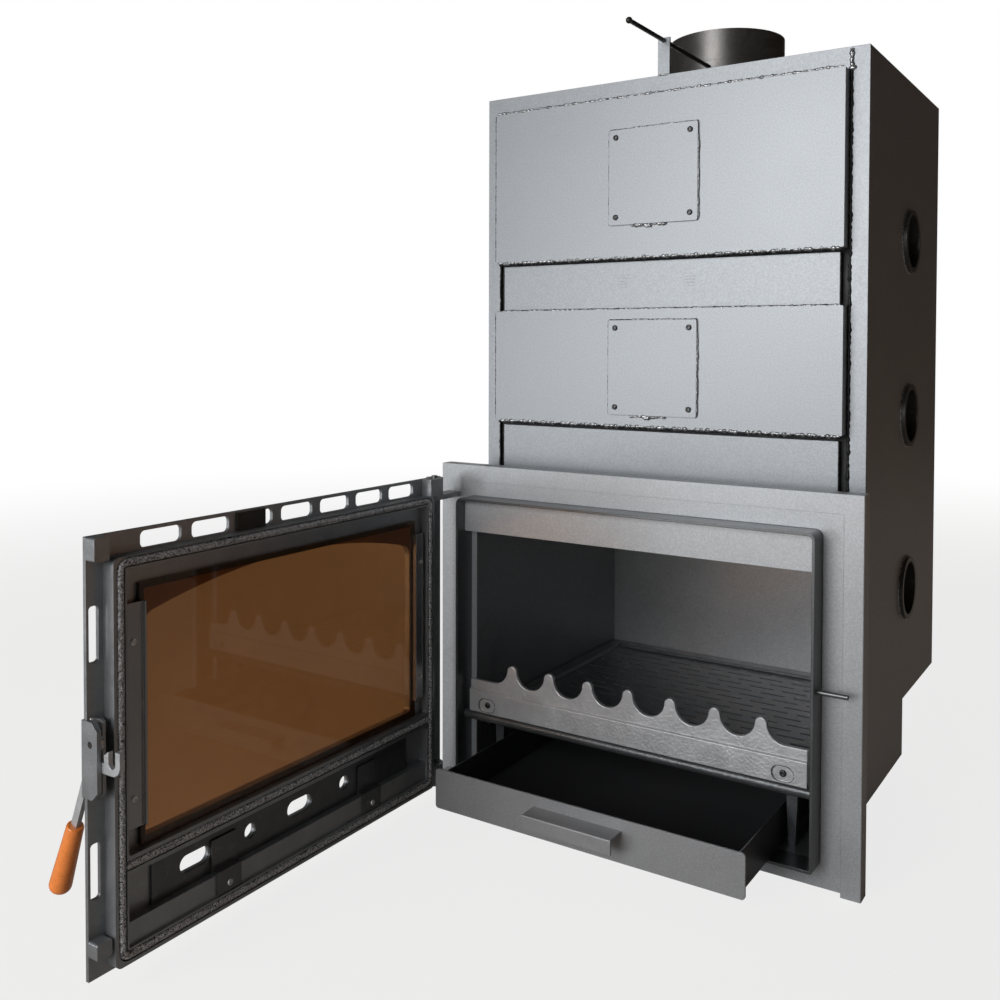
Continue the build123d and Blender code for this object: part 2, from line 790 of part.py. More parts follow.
# Front ledge of the grate: a cast bar with a round nose on two rough legs
with BuildPart() as grate_ledge:
    with BuildSketch(side_plane(-lintel_half)):
        patch(ledge_front, facade_thickness - seat_gap, ledge_top - ledge_thickness, ledge_top)
    extrude(amount=2 * lintel_half)
    fillet(grate_ledge.edges().filter_by(Axis.X).group_by(Axis.Y)[0], ledge_thickness / 2 - 0.5)
    with BuildSketch(Plane.XY.offset(ledge_top)):
        patch(-grate_half, grate_half, face_y, face_y + ledge_back)
    extrude(amount=-ledge_thickness)
    for side in (-1, 1):
        leg_x = side * ledge_leg_x
        with BuildSketch(front_plane(ledge_back)):
            with BuildLine():
                Polyline(
                    (leg_x - ledge_leg_top / 2, ledge_top - ledge_thickness),
                    (leg_x + ledge_leg_top / 2, ledge_top - ledge_thickness),
                    (leg_x + ledge_leg_foot / 2, drawer_floor),
                    (leg_x - ledge_leg_foot / 2, drawer_floor),
                    close=True,
                )
            make_face()
        extrude(amount=ledge_leg_depth)
finish(grate_ledge, "grate_ledge")

# Log retainer: a cast comb whose seven teeth stand between round valleys
valley_z = retainer_floor + valley_radius
tip_z = valley_z - tooth_tip_radius / 5
comb_left = retainer_shift - tooth_pitch * tooth_count / 2
comb_right = retainer_shift + tooth_pitch * tooth_count / 2
with BuildPart() as log_retainer:
    with BuildSketch(front_plane(retainer_front + retainer_step)):
        patch(-chamber_half, chamber_half, ledge_top, tip_z)
        with Locations([(comb_left + (i + 0.5) * tooth_pitch, tip_z) for i in range(tooth_count)]):
            Circle(tooth_tip_radius)
        with Locations([(comb_left + i * tooth_pitch, valley_z) for i in range(tooth_count + 1)]):
            Circle(valley_radius, mode=Mode.SUBTRACT)
        patch(comb_right, chamber_half, retainer_floor, valley_z, mode=Mode.SUBTRACT)
        patch(-chamber_half, comb_left, retainer_floor, valley_z, mode=Mode.SUBTRACT)
    extrude(amount=-(retainer_thickness - retainer_step))
    chamfer(log_retainer.faces().sort_by(Axis.Y)[0].edges(), 1)
    with BuildSketch(front_plane(retainer_front)):
        patch(-chamber_half, chamber_half, ledge_top, ledge_top + retainer_band)
    extrude(amount=-(retainer_step + 1))
    chamfer(log_retainer.edges().filter_by(Axis.X).group_by(Axis.Y)[0].sort_by(Axis.Z)[-1], retainer_step - 0.5)
    with BuildSketch(front_plane(retainer_front)):
        with Locations((-retainer_screw_x, retainer_screw_z), (retainer_screw_x, retainer_screw_z)):
            SlotOverall(recess_oval_length, recess_oval_width)
    extrude(amount=-retainer_step, mode=Mode.SUBTRACT)
    with BuildSketch(front_plane(retainer_front)):
        with Locations((-retainer_screw_x, retainer_screw_z), (retainer_screw_x, retainer_screw_z)):
            Circle(screw_radius + running)
    extrude(amount=-retainer_thickness, mode=Mode.SUBTRACT)
finish(log_retainer, "log_retainer")

with BuildPart() as retainer_screws:
    with BuildSketch(front_plane(retainer_front + retainer_step)):
        with Locations((-retainer_screw_x, retainer_screw_z), (retainer_screw_x, retainer_screw_z)):
            Circle(2 * screw_radius)
    extrude(amount=screw_head_height - 0.5)
    fillet(retainer_screws.faces().sort_by(Axis.Y)[0:2].edges(), 1)
    with BuildSketch(front_plane(retainer_front + retainer_step)):
        with Locations((-retainer_screw_x, retainer_screw_z), (retainer_screw_x, retainer_screw_z)):
            Circle(screw_radius)
    extrude(amount=-(retainer_thickness + sheet))
finish(retainer_screws, "retainer_screws")

# Hinge tongues on the facade, with the pins that the door's ears drop over
tongue_tops = (door_bottom + ear_gap + tongue_thickness + 1, door_top - ear_height - ear_gap)
with BuildPart() as hinge_brackets:
    for tongue_top in tongue_tops:
        with BuildSketch(Plane.XY.offset(tongue_top)):
            patch(hinge_x - tongue_half, hinge_x + tongue_half, hinge_y, face_y)
            with Locations((hinge_x, hinge_y)):
                Circle(tongue_half)
                Circle(hinge_pin_radius, mode=Mode.SUBTRACT)
        extrude(amount=-tongue_thickness)
finish(hinge_brackets, "hinge_brackets")

with BuildPart() as hinge_pins:
    for tongue_top in tongue_tops:
        with BuildSketch(Plane.XY.offset(tongue_top - tongue_thickness)):
            with Locations((hinge_x, hinge_y)):
                Circle(hinge_pin_radius)
        extrude(amount=tongue_thickness + ear_gap + ear_height + pin_cap)
finish(hinge_pins, "hinge_pins")

with BuildPart() as striker_pin:
    with BuildSketch(side_plane(collar_half)):
        with Locations((striker_y, striker_z)):
            Circle(striker_radius)
    extrude(amount=striker_reach)
    fillet(striker_pin.edges().filter_by(GeomType.CIRCLE).sort_by(Axis.X)[-1], 1.5)
finish(striker_pin, "striker_pin")

# Door casting: flat skin, raised rope frame, glass seat, air openings, hinge ears and latch clevis
air_places = [slot_shift + i * air_pitch for i in (-2, -1, 0, 1, 2)]
stud_x = air_places[0]
slot_centres = [slot_shift + (i - (top_slot_count - 1) / 2) * top_slot_pitch for i in range(top_slot_count)]
side_slot_x = door_right - side_slot_inset
clevis_x0 = lever_x - lever_side_gap - clevis_inner_wall
clevis_x1 = lever_x + lever_thickness + lever_side_gap + clevis_outer_wall
with BuildPart() as door_casting:
    with BuildSketch(door_plane(skin_w)):
        patch(door_left, door_right, door_bottom, door_top)
        with Locations([(x, top_slot_z) for x in slot_centres]):
            RectangleRounded(top_slot_length, top_slot_height, top_slot_height / 3, mode=Mode.SUBTRACT)
        with Locations([(side_slot_x, z) for z in side_slot_z]):
            RectangleRounded(side_slot_width, side_slot_length, side_slot_width / 3, mode=Mode.SUBTRACT)
        for tongue_top in tongue_tops:
            patch(door_left - 1, hinge_x + ear_radius, tongue_top - tongue_thickness - 1,
                  tongue_top + ear_gap, mode=Mode.SUBTRACT)
    extrude(amount=skin_thickness)
    with BuildSketch(door_plane(lip_depth)):
        patch(-frame_half, frame_half, frame_bottom, frame_top, radius=rope_corner)
    extrude(amount=skin_w - lip_depth)
    with BuildSketch(door_plane(lip_depth)):
        patch(-pocket_half, pocket_half, upper_pocket_bottom, upper_pocket_top, radius=rope_corner / 2)
    extrude(amount=glass_seat - lip_depth, mode=Mode.SUBTRACT)
    with BuildSketch(door_plane(lip_depth)):
        patch(-pocket_half, pocket_half, shelf_top, lower_pocket_top, radius=rope_corner / 2)
    extrude(amount=air_floor - lip_depth, mode=Mode.SUBTRACT)
    with BuildSketch(door_plane(lip_depth)):
        patch(-pocket_half, pocket_half, lower_pocket_bottom, shelf_top + rope_corner / 2)
    extrude(amount=air_shelf - lip_depth, mode=Mode.SUBTRACT)
    with BuildSketch(door_plane(glass_seat)):
        with BuildLine():
            window_edge = Polyline((window_half, window_side_top), (window_half, window_bottom),
                                   (-window_half, window_bottom), (-window_half, window_side_top))
            ThreePointArc(window_edge @ 1, (0, window_apex), window_edge @ 0)
        make_face()
        fillet(vertices().group_by(Axis.Y)[-1], window_corner)
        fillet(vertices().group_by(Axis.Y)[0], window_foot_corner)
    extrude(amount=door_thickness - glass_seat, mode=Mode.SUBTRACT)
    with BuildSketch(door_plane(air_floor)):
        with Locations((air_places[2], air_z), (air_places[4], air_z)):
            SlotOverall(air_oval_length, air_oval_height)
        with Locations((air_places[1], air_z), (air_places[3], air_z)):
            Circle(air_round_radius)
        with Locations((stud_x + air_travel / 2, air_z)):
            SlotOverall(air_travel + 2 * stud_radius + 2, 2 * stud_radius + 1)
    extrude(amount=door_thickness - air_floor, mode=Mode.SUBTRACT)
    with BuildSketch(door_plane(glass_front)):
        for side in (-1, 1):
            with Locations([(side * (strip_inner + strip_outer) / 2 + side * 4, z) for z in strip_screw_z]):
                Circle(strip_boss_radius)
    extrude(amount=glass_seat - glass_front)
    with BuildSketch(door_plane(skin_w - corner_lug_depth)):
        patch(door_right - corner_lug_width, door_right, door_top - ear_height, door_top, radius=3)
        patch(door_right - corner_lug_width, door_right, door_bottom + ear_height,
              door_bottom + ear_height + corner_lug_width, radius=3)
    extrude(amount=corner_lug_depth)
    for tongue_top in tongue_tops:
        with BuildSketch(Plane.XY.offset(tongue_top + ear_gap)):
            with Locations((hinge_x, hinge_y)):
                Circle(ear_radius)
            patch(rope_x - door_thickness, hinge_x + ear_radius, hinge_y - ear_radius, hinge_y)
            patch(rope_x - skin_w, rope_x - lip_depth, hinge_y - (-frame_half - hinge_x) - rope_corner, hinge_y)
        extrude(amount=ear_height)
        with BuildSketch(Plane.XY.offset(tongue_top)):
            with Locations((hinge_x, hinge_y)):
                Circle(hinge_pin_radius + running)
        extrude(amount=ear_height + pin_cap + 1, mode=Mode.SUBTRACT)
    with BuildSketch(door_edge_plane(clevis_x1)):
        with BuildLine():
            Polyline(
                (door_thickness + clevis_outside, clevis_bottom),
                (door_thickness + clevis_outside, clevis_top),
                (clevis_chamfer, clevis_top),
                (0, clevis_top - clevis_chamfer),
                (0, clevis_bottom + clevis_chamfer),
                (clevis_chamfer, clevis_bottom),
                close=True,
            )
        make_face()
    extrude(amount=clevis_x1 - clevis_x0)
    with BuildSketch(door_edge_plane(clevis_x0 + clevis_inner_wall)):
        patch(-1, clevis_inner_start, clevis_bottom - 1, clevis_top + 1)
    extrude(amount=clevis_inner_wall, mode=Mode.SUBTRACT)
    with BuildSketch(door_edge_plane(lever_x + lever_thickness + lever_side_gap)):
        patch(hook_w, door_thickness + clevis_outside + 1, clevis_bottom - 1, clevis_top + 1)
    extrude(amount=lever_thickness + 2 * lever_side_gap, mode=Mode.SUBTRACT)
    with BuildSketch(door_edge_plane(clevis_x1)):
        with Locations((pivot_w, pivot_z)):
            Circle(pivot_radius)
    extrude(amount=clevis_x1 - clevis_x0, mode=Mode.SUBTRACT)
    with BuildSketch(door_plane(lip_depth)):
        patch(-rope_half - channel_half, rope_half + channel_half, rope_bottom - channel_half,
              rope_top + channel_half, radius=rope_corner + channel_half)
        patch(channel_half - rope_half, rope_half - channel_half, rope_bottom + channel_half,
              rope_top - channel_half, radius=rope_corner - channel_half, mode=Mode.SUBTRACT)
        patch(-rope_half, rope_half, middle_rope_z - channel_half, middle_rope_z + channel_half)
    extrude(amount=2 * rope_radius + rope_clearance - lip_depth, mode=Mode.SUBTRACT)
finish(door_casting, "door_casting")

with BuildPart() as door_glass:
    with BuildSketch(door_plane(glass_front)):
        patch(-glass_half, glass_half, glass_bottom, glass_top)
    extrude(amount=glass_thickness)
finish(door_glass, "door_glass")

with BuildPart() as glass_gasket:
    with BuildSketch(door_plane(glass_front + glass_thickness)):
        patch(-glass_half, glass_half, glass_bottom, glass_top)
        patch(gasket_width - glass_half, glass_half - gasket_width, glass_bottom + gasket_width,
              glass_top - gasket_width, mode=Mode.SUBTRACT)
    extrude(amount=gasket_thickness)
finish(glass_gasket, "glass_gasket")

with BuildPart() as glass_strips:
    with BuildSketch(door_plane(glass_front - strip_thickness)):
        for side in (-1, 1):
            patch(min(side * strip_inner, side * strip_outer), max(side * strip_inner, side * strip_outer),
                  strip_bottom, strip_top)
            with Locations([(side * (strip_inner + strip_outer) / 2 + side * 4, z) for z in strip_screw_z]):
                Circle(small_screw_radius, mode=Mode.SUBTRACT)
    extrude(amount=strip_thickness)
    with BuildSketch(door_plane(glass_front - strip_thickness - strip_lip)):
        for side in (-1, 1):
            lip_x = side * (strip_inner + strip_thickness)
            patch(min(side * strip_inner, lip_x), max(side * strip_inner, lip_x), strip_bottom, strip_top)
    extrude(amount=strip_lip)
finish(glass_strips, "glass_strips")

with BuildPart() as strip_screws:
    for side in (-1, 1):
        with BuildSketch(door_plane(glass_front - strip_thickness - small_head_height)):
            with Locations([(side * (strip_inner + strip_outer) / 2 + side * 4, z) for z in strip_screw_z]):
                Circle(small_head_radius)
        extrude(amount=small_head_height)
        with BuildSketch(door_plane(glass_front - strip_thickness)):
            with Locations([(side * (strip_inner + strip_outer) / 2 + side * 4, z) for z in strip_screw_z]):
                Circle(small_screw_radius)
        extrude(amount=strip_thickness)
    fillet(strip_screws.faces().sort_by(Axis.X)[-4:].edges(), small_head_height / 2)
finish(strip_screws, "strip_screws")

# Sealing ropes in their channels
with BuildPart() as rope_outer:
    with BuildLine(door_plane(rope_radius)) as rope_path:
        FilletPolyline((-rope_half, rope_bottom), (rope_half, rope_bottom), (rope_half, rope_top),
                       (-rope_half, rope_top), radius=rope_corner, close=True)
    with BuildSketch(rope_path.line ^ 0):
        Circle(rope_radius)
    sweep()
finish(rope_outer, "rope_outer")

with BuildPart() as rope_middle:
    with BuildSketch(door_edge_plane(rope_half - rope_radius - rope_clearance)):
        with Locations((rope_radius, middle_rope_z)):
            Circle(rope_radius)
    extrude(amount=2 * (rope_half - rope_radius - rope_clearance))
finish(rope_middle, "rope_middle")

with BuildPart() as slot_cover:
    with BuildSketch(door_plane(skin_w - slot_cover_thickness)):
        with Locations((slot_centres[4] + 10, top_slot_z)):
            Rectangle(slot_cover_length, slot_cover_height)
    extrude(amount=slot_cover_thickness)
finish(slot_cover, "slot_cover")

# Air slide: a punched plate held by two stepped clips, moved by a knob outside the door
slide_front = air_floor - seat_gap - slide_thickness
slide_z = shelf_top + seat_gap
with BuildPart() as air_slide:
    with BuildSketch(door_plane(slide_front)):
        patch(stud_x - slide_tail, air_places[4] + slide_head, slide_z, slide_z + slide_height)
        with Locations((air_places[2], air_z), (air_places[4], air_z)):
            SlotOverall(air_oval_length, air_oval_height, mode=Mode.SUBTRACT)
        with Locations((air_places[1], air_z), (air_places[3], air_z)):
            Circle(air_round_radius, mode=Mode.SUBTRACT)
    extrude(amount=slide_thickness)
finish(air_slide, "air_slide")

with BuildPart() as air_knob:
    with BuildSketch(door_plane(slide_front + slide_thickness)):
        with Locations((stud_x, air_z)):
            Circle(stud_radius)
    extrude(amount=door_thickness + sheet - slide_front - slide_thickness)
    with BuildSketch(door_plane(door_thickness + sheet)):
        with Locations((stud_x, air_z)):
            Circle(knob_radius)
    extrude(amount=knob_length)
    fillet(air_knob.edges().filter_by(GeomType.CIRCLE).sort_by(Axis.X)[0], sheet)
finish(air_knob, "air_knob")

clip_places = (slot_shift - clip_spacing / 2, slot_shift + clip_spacing / 2)
clip_step_z = shelf_top + seat_gap
clip_tongue_w = slide_front - seat_gap
with BuildPart() as slide_clips:
    for clip_x in clip_places:
        with BuildSketch(door_edge_plane(clip_x + clip_width / 2)):
            patch(air_shelf - clip_thickness, air_shelf, clip_foot_z, clip_step_z + clip_thickness)
            patch(air_shelf - clip_thickness, clip_tongue_w, clip_step_z, clip_step_z + clip_thickness)
            patch(clip_tongue_w - clip_thickness, clip_tongue_w, clip_step_z, clip_top_z)
        extrude(amount=clip_width)
    with BuildSketch(door_plane(0)):
        with Locations([(x, clip_screw_z) for x in clip_places]):
            Circle(small_screw_radius)
    extrude(amount=door_thickness, mode=Mode.SUBTRACT)
finish(slide_clips, "slide_clips")

with BuildPart() as clip_screws:
    with BuildSketch(door_plane(air_shelf - clip_thickness - small_head_height)):
        with Locations([(x, clip_screw_z) for x in clip_places]):
            Circle(small_head_radius)
    extrude(amount=small_head_height)
    with BuildSketch(door_plane(air_shelf - clip_thickness)):
        with Locations([(x, clip_screw_z) for x in clip_places]):
            Circle(small_screw_radius)
    extrude(amount=clip_thickness)
    fillet(clip_screws.faces().sort_by(Axis.X)[-2:].edges(), small_head_height / 2)
finish(clip_screws, "clip_screws")

# Latch: pivot pin, lever with its U hook, and the grip on the lever's tang
with BuildPart() as latch_pivot:
    with BuildSketch(door_edge_plane(clevis_x1)):
        with Locations((pivot_w, pivot_z)):
            Circle(pivot_radius)
    extrude(amount=clevis_x1 - clevis_x0)
finish(latch_pivot, "latch_pivot")

hook_outer = hook_bore + hook_wall
stem_tip = (pivot_w + stem_length * sin(radians(stem_angle)), pivot_z - stem_length * cos(radians(stem_angle)))
lever_middle = lever_x + lever_thickness / 2
with BuildPart() as latch_lever:
    with BuildSketch(door_edge_plane(lever_x + lever_thickness)):
        with BuildLine():
            stem_line = Line((pivot_w, pivot_z), stem_tip)
        with Locations((pivot_w, pivot_z)):
            Circle(hub_radius)
        with Locations(stem_line @ 0.5):
            Rectangle(stem_width, stem_length, rotation=stem_angle)
        with Locations((hook_w, hook_z)):
            Circle(hook_outer)
        patch(hook_w - hook_outer, hook_w - hook_bore, hook_z, hook_z + far_horn)
        patch(hook_w + hook_bore, hook_w + hook_outer, hook_z, hook_z + near_horn)
        patch(hook_w, pivot_w + hub_radius, hook_z - hook_outer, hook_z - hook_outer + neck_height)
        with Locations((hook_w, hook_z)):
            Circle(hook_bore, mode=Mode.SUBTRACT)
        patch(hook_w - hook_bore, hook_w + hook_bore, hook_z, hook_z + 2 * hook_outer, mode=Mode.SUBTRACT)
        with Locations((pivot_w, pivot_z)):
            Circle(pivot_radius + running, mode=Mode.SUBTRACT)
    extrude(amount=lever_thickness)
finish(latch_lever, "latch_lever")

grip_dir = Vector(-sin(radians(stem_angle)), 0, -cos(radians(stem_angle)))
grip_base = door_edge_plane(lever_middle).from_local_coords((pivot_w, pivot_z, 0))
grip_origin = grip_base + grip_dir * grip_start
tang_length = stem_length - grip_start
grip_flare = degrees(atan2(grip_radius - grip_neck_radius, grip_length))
with BuildPart() as latch_grip:
    with BuildSketch(Plane(origin=grip_origin, x_dir=(0, -1, 0), z_dir=grip_dir)):
        Circle(grip_neck_radius)
    extrude(amount=grip_length, taper=-grip_flare)
    fillet(latch_grip.edges().filter_by(GeomType.CIRCLE).sort_by(Axis.Z)[0], grip_crown)
    fillet(latch_grip.edges().filter_by(GeomType.CIRCLE).sort_by(Axis.Z)[-1], grip_crown / 4)
    with BuildSketch(Plane(origin=grip_origin, x_dir=(0, -1, 0), z_dir=grip_dir)):
        Rectangle(lever_thickness + seat_gap, stem_width + seat_gap)
    extrude(amount=tang_length + seat_gap, mode=Mode.SUBTRACT)
finish(latch_grip, "latch_grip")

# Ash drawer: folded tray, front plate and an angle handle
with BuildPart() as drawer_tray:
    with BuildSketch(Plane.XY.offset(drawer_floor)):
        patch(-drawer_half, drawer_half, drawer_y + drawer_front_thickness,
              drawer_y + drawer_front_thickness + drawer_length)
    extrude(amount=drawer_wall_top - drawer_floor)
    with BuildSketch(Plane.XY.offset(drawer_floor + drawer_wall)):
        patch(drawer_wall - drawer_half, drawer_half - drawer_wall,
              drawer_y + drawer_front_thickness + drawer_wall,
              drawer_y + drawer_front_thickness + drawer_length - drawer_wall)
    extrude(amount=drawer_wall_top - drawer_floor, mode=Mode.SUBTRACT)
finish(drawer_tray, "drawer_tray")

with BuildPart() as drawer_front:
    with BuildSketch(Plane(origin=(0, drawer_y, 0), x_dir=(1, 0, 0), z_dir=(0, -1, 0))):
        patch(-drawer_front_half, drawer_front_half, drawer_floor, drawer_front_top, radius=5)
    extrude(amount=-drawer_front_thickness)
finish(drawer_front, "drawer_front")

with BuildPart() as drawer_handle:
    with BuildSketch(Plane(origin=(-handle_half, drawer_y, 0), x_dir=(0, 1, 0), z_dir=(1, 0, 0))):
        patch(-handle_depth, 0, handle_top - handle_thickness, handle_top)
        patch(-handle_depth, handle_thickness - handle_depth, handle_top - handle_lip, handle_top)
    extrude(amount=2 * handle_half)
    fillet(drawer_handle.edges().filter_by(Axis.X).group_by(Axis.Y)[0].sort_by(Axis.Z)[-1], handle_thickness - 0.5)
finish(drawer_handle, "drawer_handle")
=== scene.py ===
"""Looks for the wood boiler fireplace: finishes, weld beads, braided ropes, screw heads and the studio.

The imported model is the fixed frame. Its steel and cast pieces keep their solids and get procedural
finishes, and the pieces that a plain solid can't show are surfaces worked out here with numpy.
Everything is in metres, with +Z up and the facade looking along -Y.
"""
import logging
import math
from dataclasses import dataclass, field
from enum import Enum

import bpy
import numpy as np
from mathutils import Matrix, Vector


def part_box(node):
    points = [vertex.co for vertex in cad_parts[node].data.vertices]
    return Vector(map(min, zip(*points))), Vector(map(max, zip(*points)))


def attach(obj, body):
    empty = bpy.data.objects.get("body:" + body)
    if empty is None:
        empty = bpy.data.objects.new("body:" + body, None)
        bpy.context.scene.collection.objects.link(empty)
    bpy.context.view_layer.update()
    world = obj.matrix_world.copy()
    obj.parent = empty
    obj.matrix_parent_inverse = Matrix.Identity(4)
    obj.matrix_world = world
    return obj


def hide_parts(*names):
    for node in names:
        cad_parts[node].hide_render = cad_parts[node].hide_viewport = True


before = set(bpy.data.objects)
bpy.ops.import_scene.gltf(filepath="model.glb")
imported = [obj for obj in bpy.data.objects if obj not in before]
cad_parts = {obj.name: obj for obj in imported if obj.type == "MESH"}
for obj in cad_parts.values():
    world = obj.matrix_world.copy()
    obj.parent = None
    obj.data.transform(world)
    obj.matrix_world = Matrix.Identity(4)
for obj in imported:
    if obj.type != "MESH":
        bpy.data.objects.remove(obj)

log = logging.getLogger("boiler_fireplace")
Colour = tuple[float, float, float]
Point = tuple[float, float, float]

STOVE = "stove"
DOOR = "door"
MM = 0.001
OUT = (0.0, -1.0, 0.0)


class Surface(Enum):
    """What the skin of a finish is made of, which decides how its relief is drawn."""

    SHEET = "sheet"
    CAST = "cast"
    MACHINED = "machined"
    BRAID = "braid"
    GLASS = "glass"
    MOULDED = "moulded"


@dataclass(frozen=True)
class Finish:
    """One finish of the stove, with sizes in metres.

    Args:
        name: name of the material.
        surface: how the relief is drawn.
        colour: linear base colour.
        tint: linear colour of the stains and the worn places.
        metallic: how much of the skin is bare metal.
        roughness: middle roughness.
        mottle: share by which the colour wanders.
        mottle_size: size of the colour's clouds.
        grain_size: size of the finest relief.
        grain_height: height of the finest relief.
        stain: share of the surface that the tint covers.
        edge: radius by which the light sees an edge rounded.
    """

    name: str
    surface: Surface
    colour: Colour
    tint: Colour
    metallic: float
    roughness: float
    mottle: float = 0.1
    mottle_size: float = 0.06
    grain_size: float = 0.0012
    grain_height: float = 0.00004
    stain: float = 0.2
    edge: float = 0.0008


PAINT = Finish(
    "metallic_grey_paint", Surface.SHEET, (0.38, 0.40, 0.42), (0.32, 0.325, 0.335), 0.45, 0.45,
    mottle=0.05, mottle_size=0.14, grain_size=0.0016, stain=0.10)
TRIM_PAINT = Finish(
    "grey_trim_paint", Surface.SHEET, (0.45, 0.464, 0.48), (0.36, 0.368, 0.378), 0.45, 0.42,
    mottle=0.06, mottle_size=0.12, grain_height=0.00003, stain=0.12)
DRAWER_PAINT = Finish(
    "drawer_paint", Surface.SHEET, (0.33, 0.335, 0.344), (0.26, 0.263, 0.269), 0.4, 0.44,
    mottle=0.06, mottle_size=0.1, grain_height=0.00003, stain=0.12)
# The tray is near-black, much darker than the drawer's front.
DARK_TRAY = Finish(
    "near_black_tray", Surface.SHEET, (0.075, 0.078, 0.084), (0.10, 0.102, 0.106), 0.4, 0.36,
    mottle=0.12, mottle_size=0.1, grain_height=0.00003, stain=0.15)
FIREBOX_PAINT = Finish(
    "firebox_paint", Surface.SHEET, (0.36, 0.368, 0.376), (0.27, 0.275, 0.282), 0.9, 0.42,
    mottle=0.08, mottle_size=0.12, grain_size=0.0014, grain_height=0.00003, stain=0.12)
COLLAR_PAINT = Finish(
    "dark_collar_paint", Surface.SHEET, (0.15, 0.155, 0.16), (0.22, 0.225, 0.23), 0.85, 0.33,
    mottle=0.08, mottle_size=0.05, grain_height=0.00003, edge=0.0012)
# Painted shade: a near-black sheet that shows only in the grooves between the front panels, standing in for
# the grooves' shade.
GROOVE_SHADE_STEEL = Finish(
    "painted_groove_shade", Surface.SHEET, (0.012, 0.012, 0.013), (0.05, 0.05, 0.052), 0.3, 0.5,
    mottle=0.3, mottle_size=0.03, grain_size=0.0014, grain_height=0.0001, stain=0.10)
FLUE_STEEL = Finish(
    "flue_steel", Surface.SHEET, (0.17, 0.163, 0.157), (0.10, 0.092, 0.086), 0.8, 0.36,
    mottle=0.15, mottle_size=0.05, grain_height=0.00003, stain=0.35)
DARK_STEEL = Finish(
    "dark_steel", Surface.MACHINED, (0.05, 0.048, 0.046), (0.09, 0.086, 0.08), 0.7, 0.38,
    mottle=0.2, mottle_size=0.04, grain_size=0.0008, grain_height=0.00002)
PIN_STEEL = Finish(
    "bright_pin_steel", Surface.MACHINED, (0.18, 0.185, 0.19), (0.11, 0.11, 0.115), 0.8, 0.36,
    mottle_size=0.01, grain_size=0.0008, grain_height=0.00002)
WELD_STEEL = Finish(
    "weld_bead", Surface.CAST, (0.50, 0.51, 0.52), (0.03, 0.03, 0.031), 0.85, 0.30,
    mottle=0.35, mottle_size=0.006, grain_size=0.0014, grain_height=0.0003, stain=0.42)
# Painted shade: near-black lines beside seams, edges and recesses, where the gaps lie in shade.
SEAM_SHADE = Finish(
    "painted_seam_shade", Surface.CAST, (0.010, 0.010, 0.011), (0.12, 0.12, 0.122), 0.3, 0.45,
    mottle=0.3, mottle_size=0.006, grain_size=0.0014, grain_height=0.0003, stain=0.16)
DOOR_CAST = Finish(
    "door_casting", Surface.CAST, (0.32, 0.332, 0.345), (0.42, 0.431, 0.443), 0.74, 0.40,
    mottle=0.16, mottle_size=0.03, grain_size=0.0013, grain_height=0.00012)
GREY_CAST = Finish(
    "grey_casting", Surface.CAST, (0.56, 0.572, 0.59), (0.68, 0.692, 0.71), 0.5, 0.36,
    mottle=0.16, mottle_size=0.03, grain_size=0.0018, grain_height=0.00022, stain=0.3, edge=0.0014)
DARK_CAST = Finish(
    "grate_casting", Surface.CAST, (0.11, 0.116, 0.122), (0.19, 0.195, 0.20), 0.6, 0.36,
    mottle=0.16, mottle_size=0.04, grain_size=0.002, grain_height=0.0002, stain=0.3, edge=0.0018)
STRIP_STEEL = Finish(
    "strip_steel", Surface.MACHINED, (0.34, 0.34, 0.345), (0.25, 0.25, 0.25), 0.97, 0.22,
    mottle=0.08, mottle_size=0.02, grain_size=0.0006, grain_height=0.00001, stain=0.15)
DARK_PLATED = Finish(
    "dark_plated_steel", Surface.MACHINED, (0.13, 0.134, 0.14), (0.22, 0.22, 0.225), 0.7, 0.34,
    mottle=0.15, mottle_size=0.02, grain_size=0.0008, grain_height=0.00002, stain=0.25)
SCREW_STEEL = Finish(
    "screw_steel", Surface.MACHINED, (0.07, 0.07, 0.072), (0.16, 0.16, 0.16), 0.8, 0.32,
    mottle=0.15, mottle_size=0.004, grain_size=0.0006, grain_height=0.00002, stain=0.3, edge=0.0003)
# Painted sheen: the plating is silver, and the near-white, mostly non-metallic colour makes the screws shine
# on faces that the lamps hardly reach.
SILVER_SHEEN_SCREW = Finish(
    "silver_screw_painted_sheen", Surface.MACHINED, (0.85, 0.85, 0.84), (0.6, 0.6, 0.59), 0.35, 0.34,
    mottle=0.08, mottle_size=0.004, grain_size=0.0006, grain_height=0.00001, stain=0.1, edge=0.0003)
SCUFF = Finish(
    "scuffed_paint", Surface.SHEET, (0.66, 0.67, 0.68), (0.42, 0.43, 0.44), 0.3, 0.5,
    mottle=0.2, mottle_size=0.01, grain_size=0.0008, stain=0.3)
# The pale tint goes on as fibre specks: partly the braid's own pale fibre, partly painted glints that stand
# in for its sheen.
ROPE = Finish(
    "braided_rope", Surface.BRAID, (0.020, 0.020, 0.021), (0.90, 0.90, 0.92), 0.25, 0.38,
    mottle=0.3, mottle_size=0.0055, grain_size=0.0007, grain_height=0.0003, stain=0.55, edge=0.0001)
GASKET = Finish(
    "pressed_gasket", Surface.MOULDED, (0.022, 0.022, 0.022), (0.04, 0.04, 0.04), 0.0, 0.8,
    mottle=0.15, mottle_size=0.01, grain_size=0.0008, grain_height=0.00008)
AMBER_GLASS = Finish(
    "amber_glass", Surface.GLASS, (0.66, 0.31, 0.12), (0.5, 0.25, 0.1), 0.0, 0.02,
    mottle=0.08, mottle_size=0.12, grain_size=0.01, grain_height=0.0, stain=0.1)
ORANGE_GRIP = Finish(
    "orange_grip", Surface.MOULDED, (0.98, 0.28, 0.055), (0.80, 0.20, 0.035), 0.0, 0.30,
    mottle=0.12, mottle_size=0.008, grain_height=0.00006, stain=0.25)


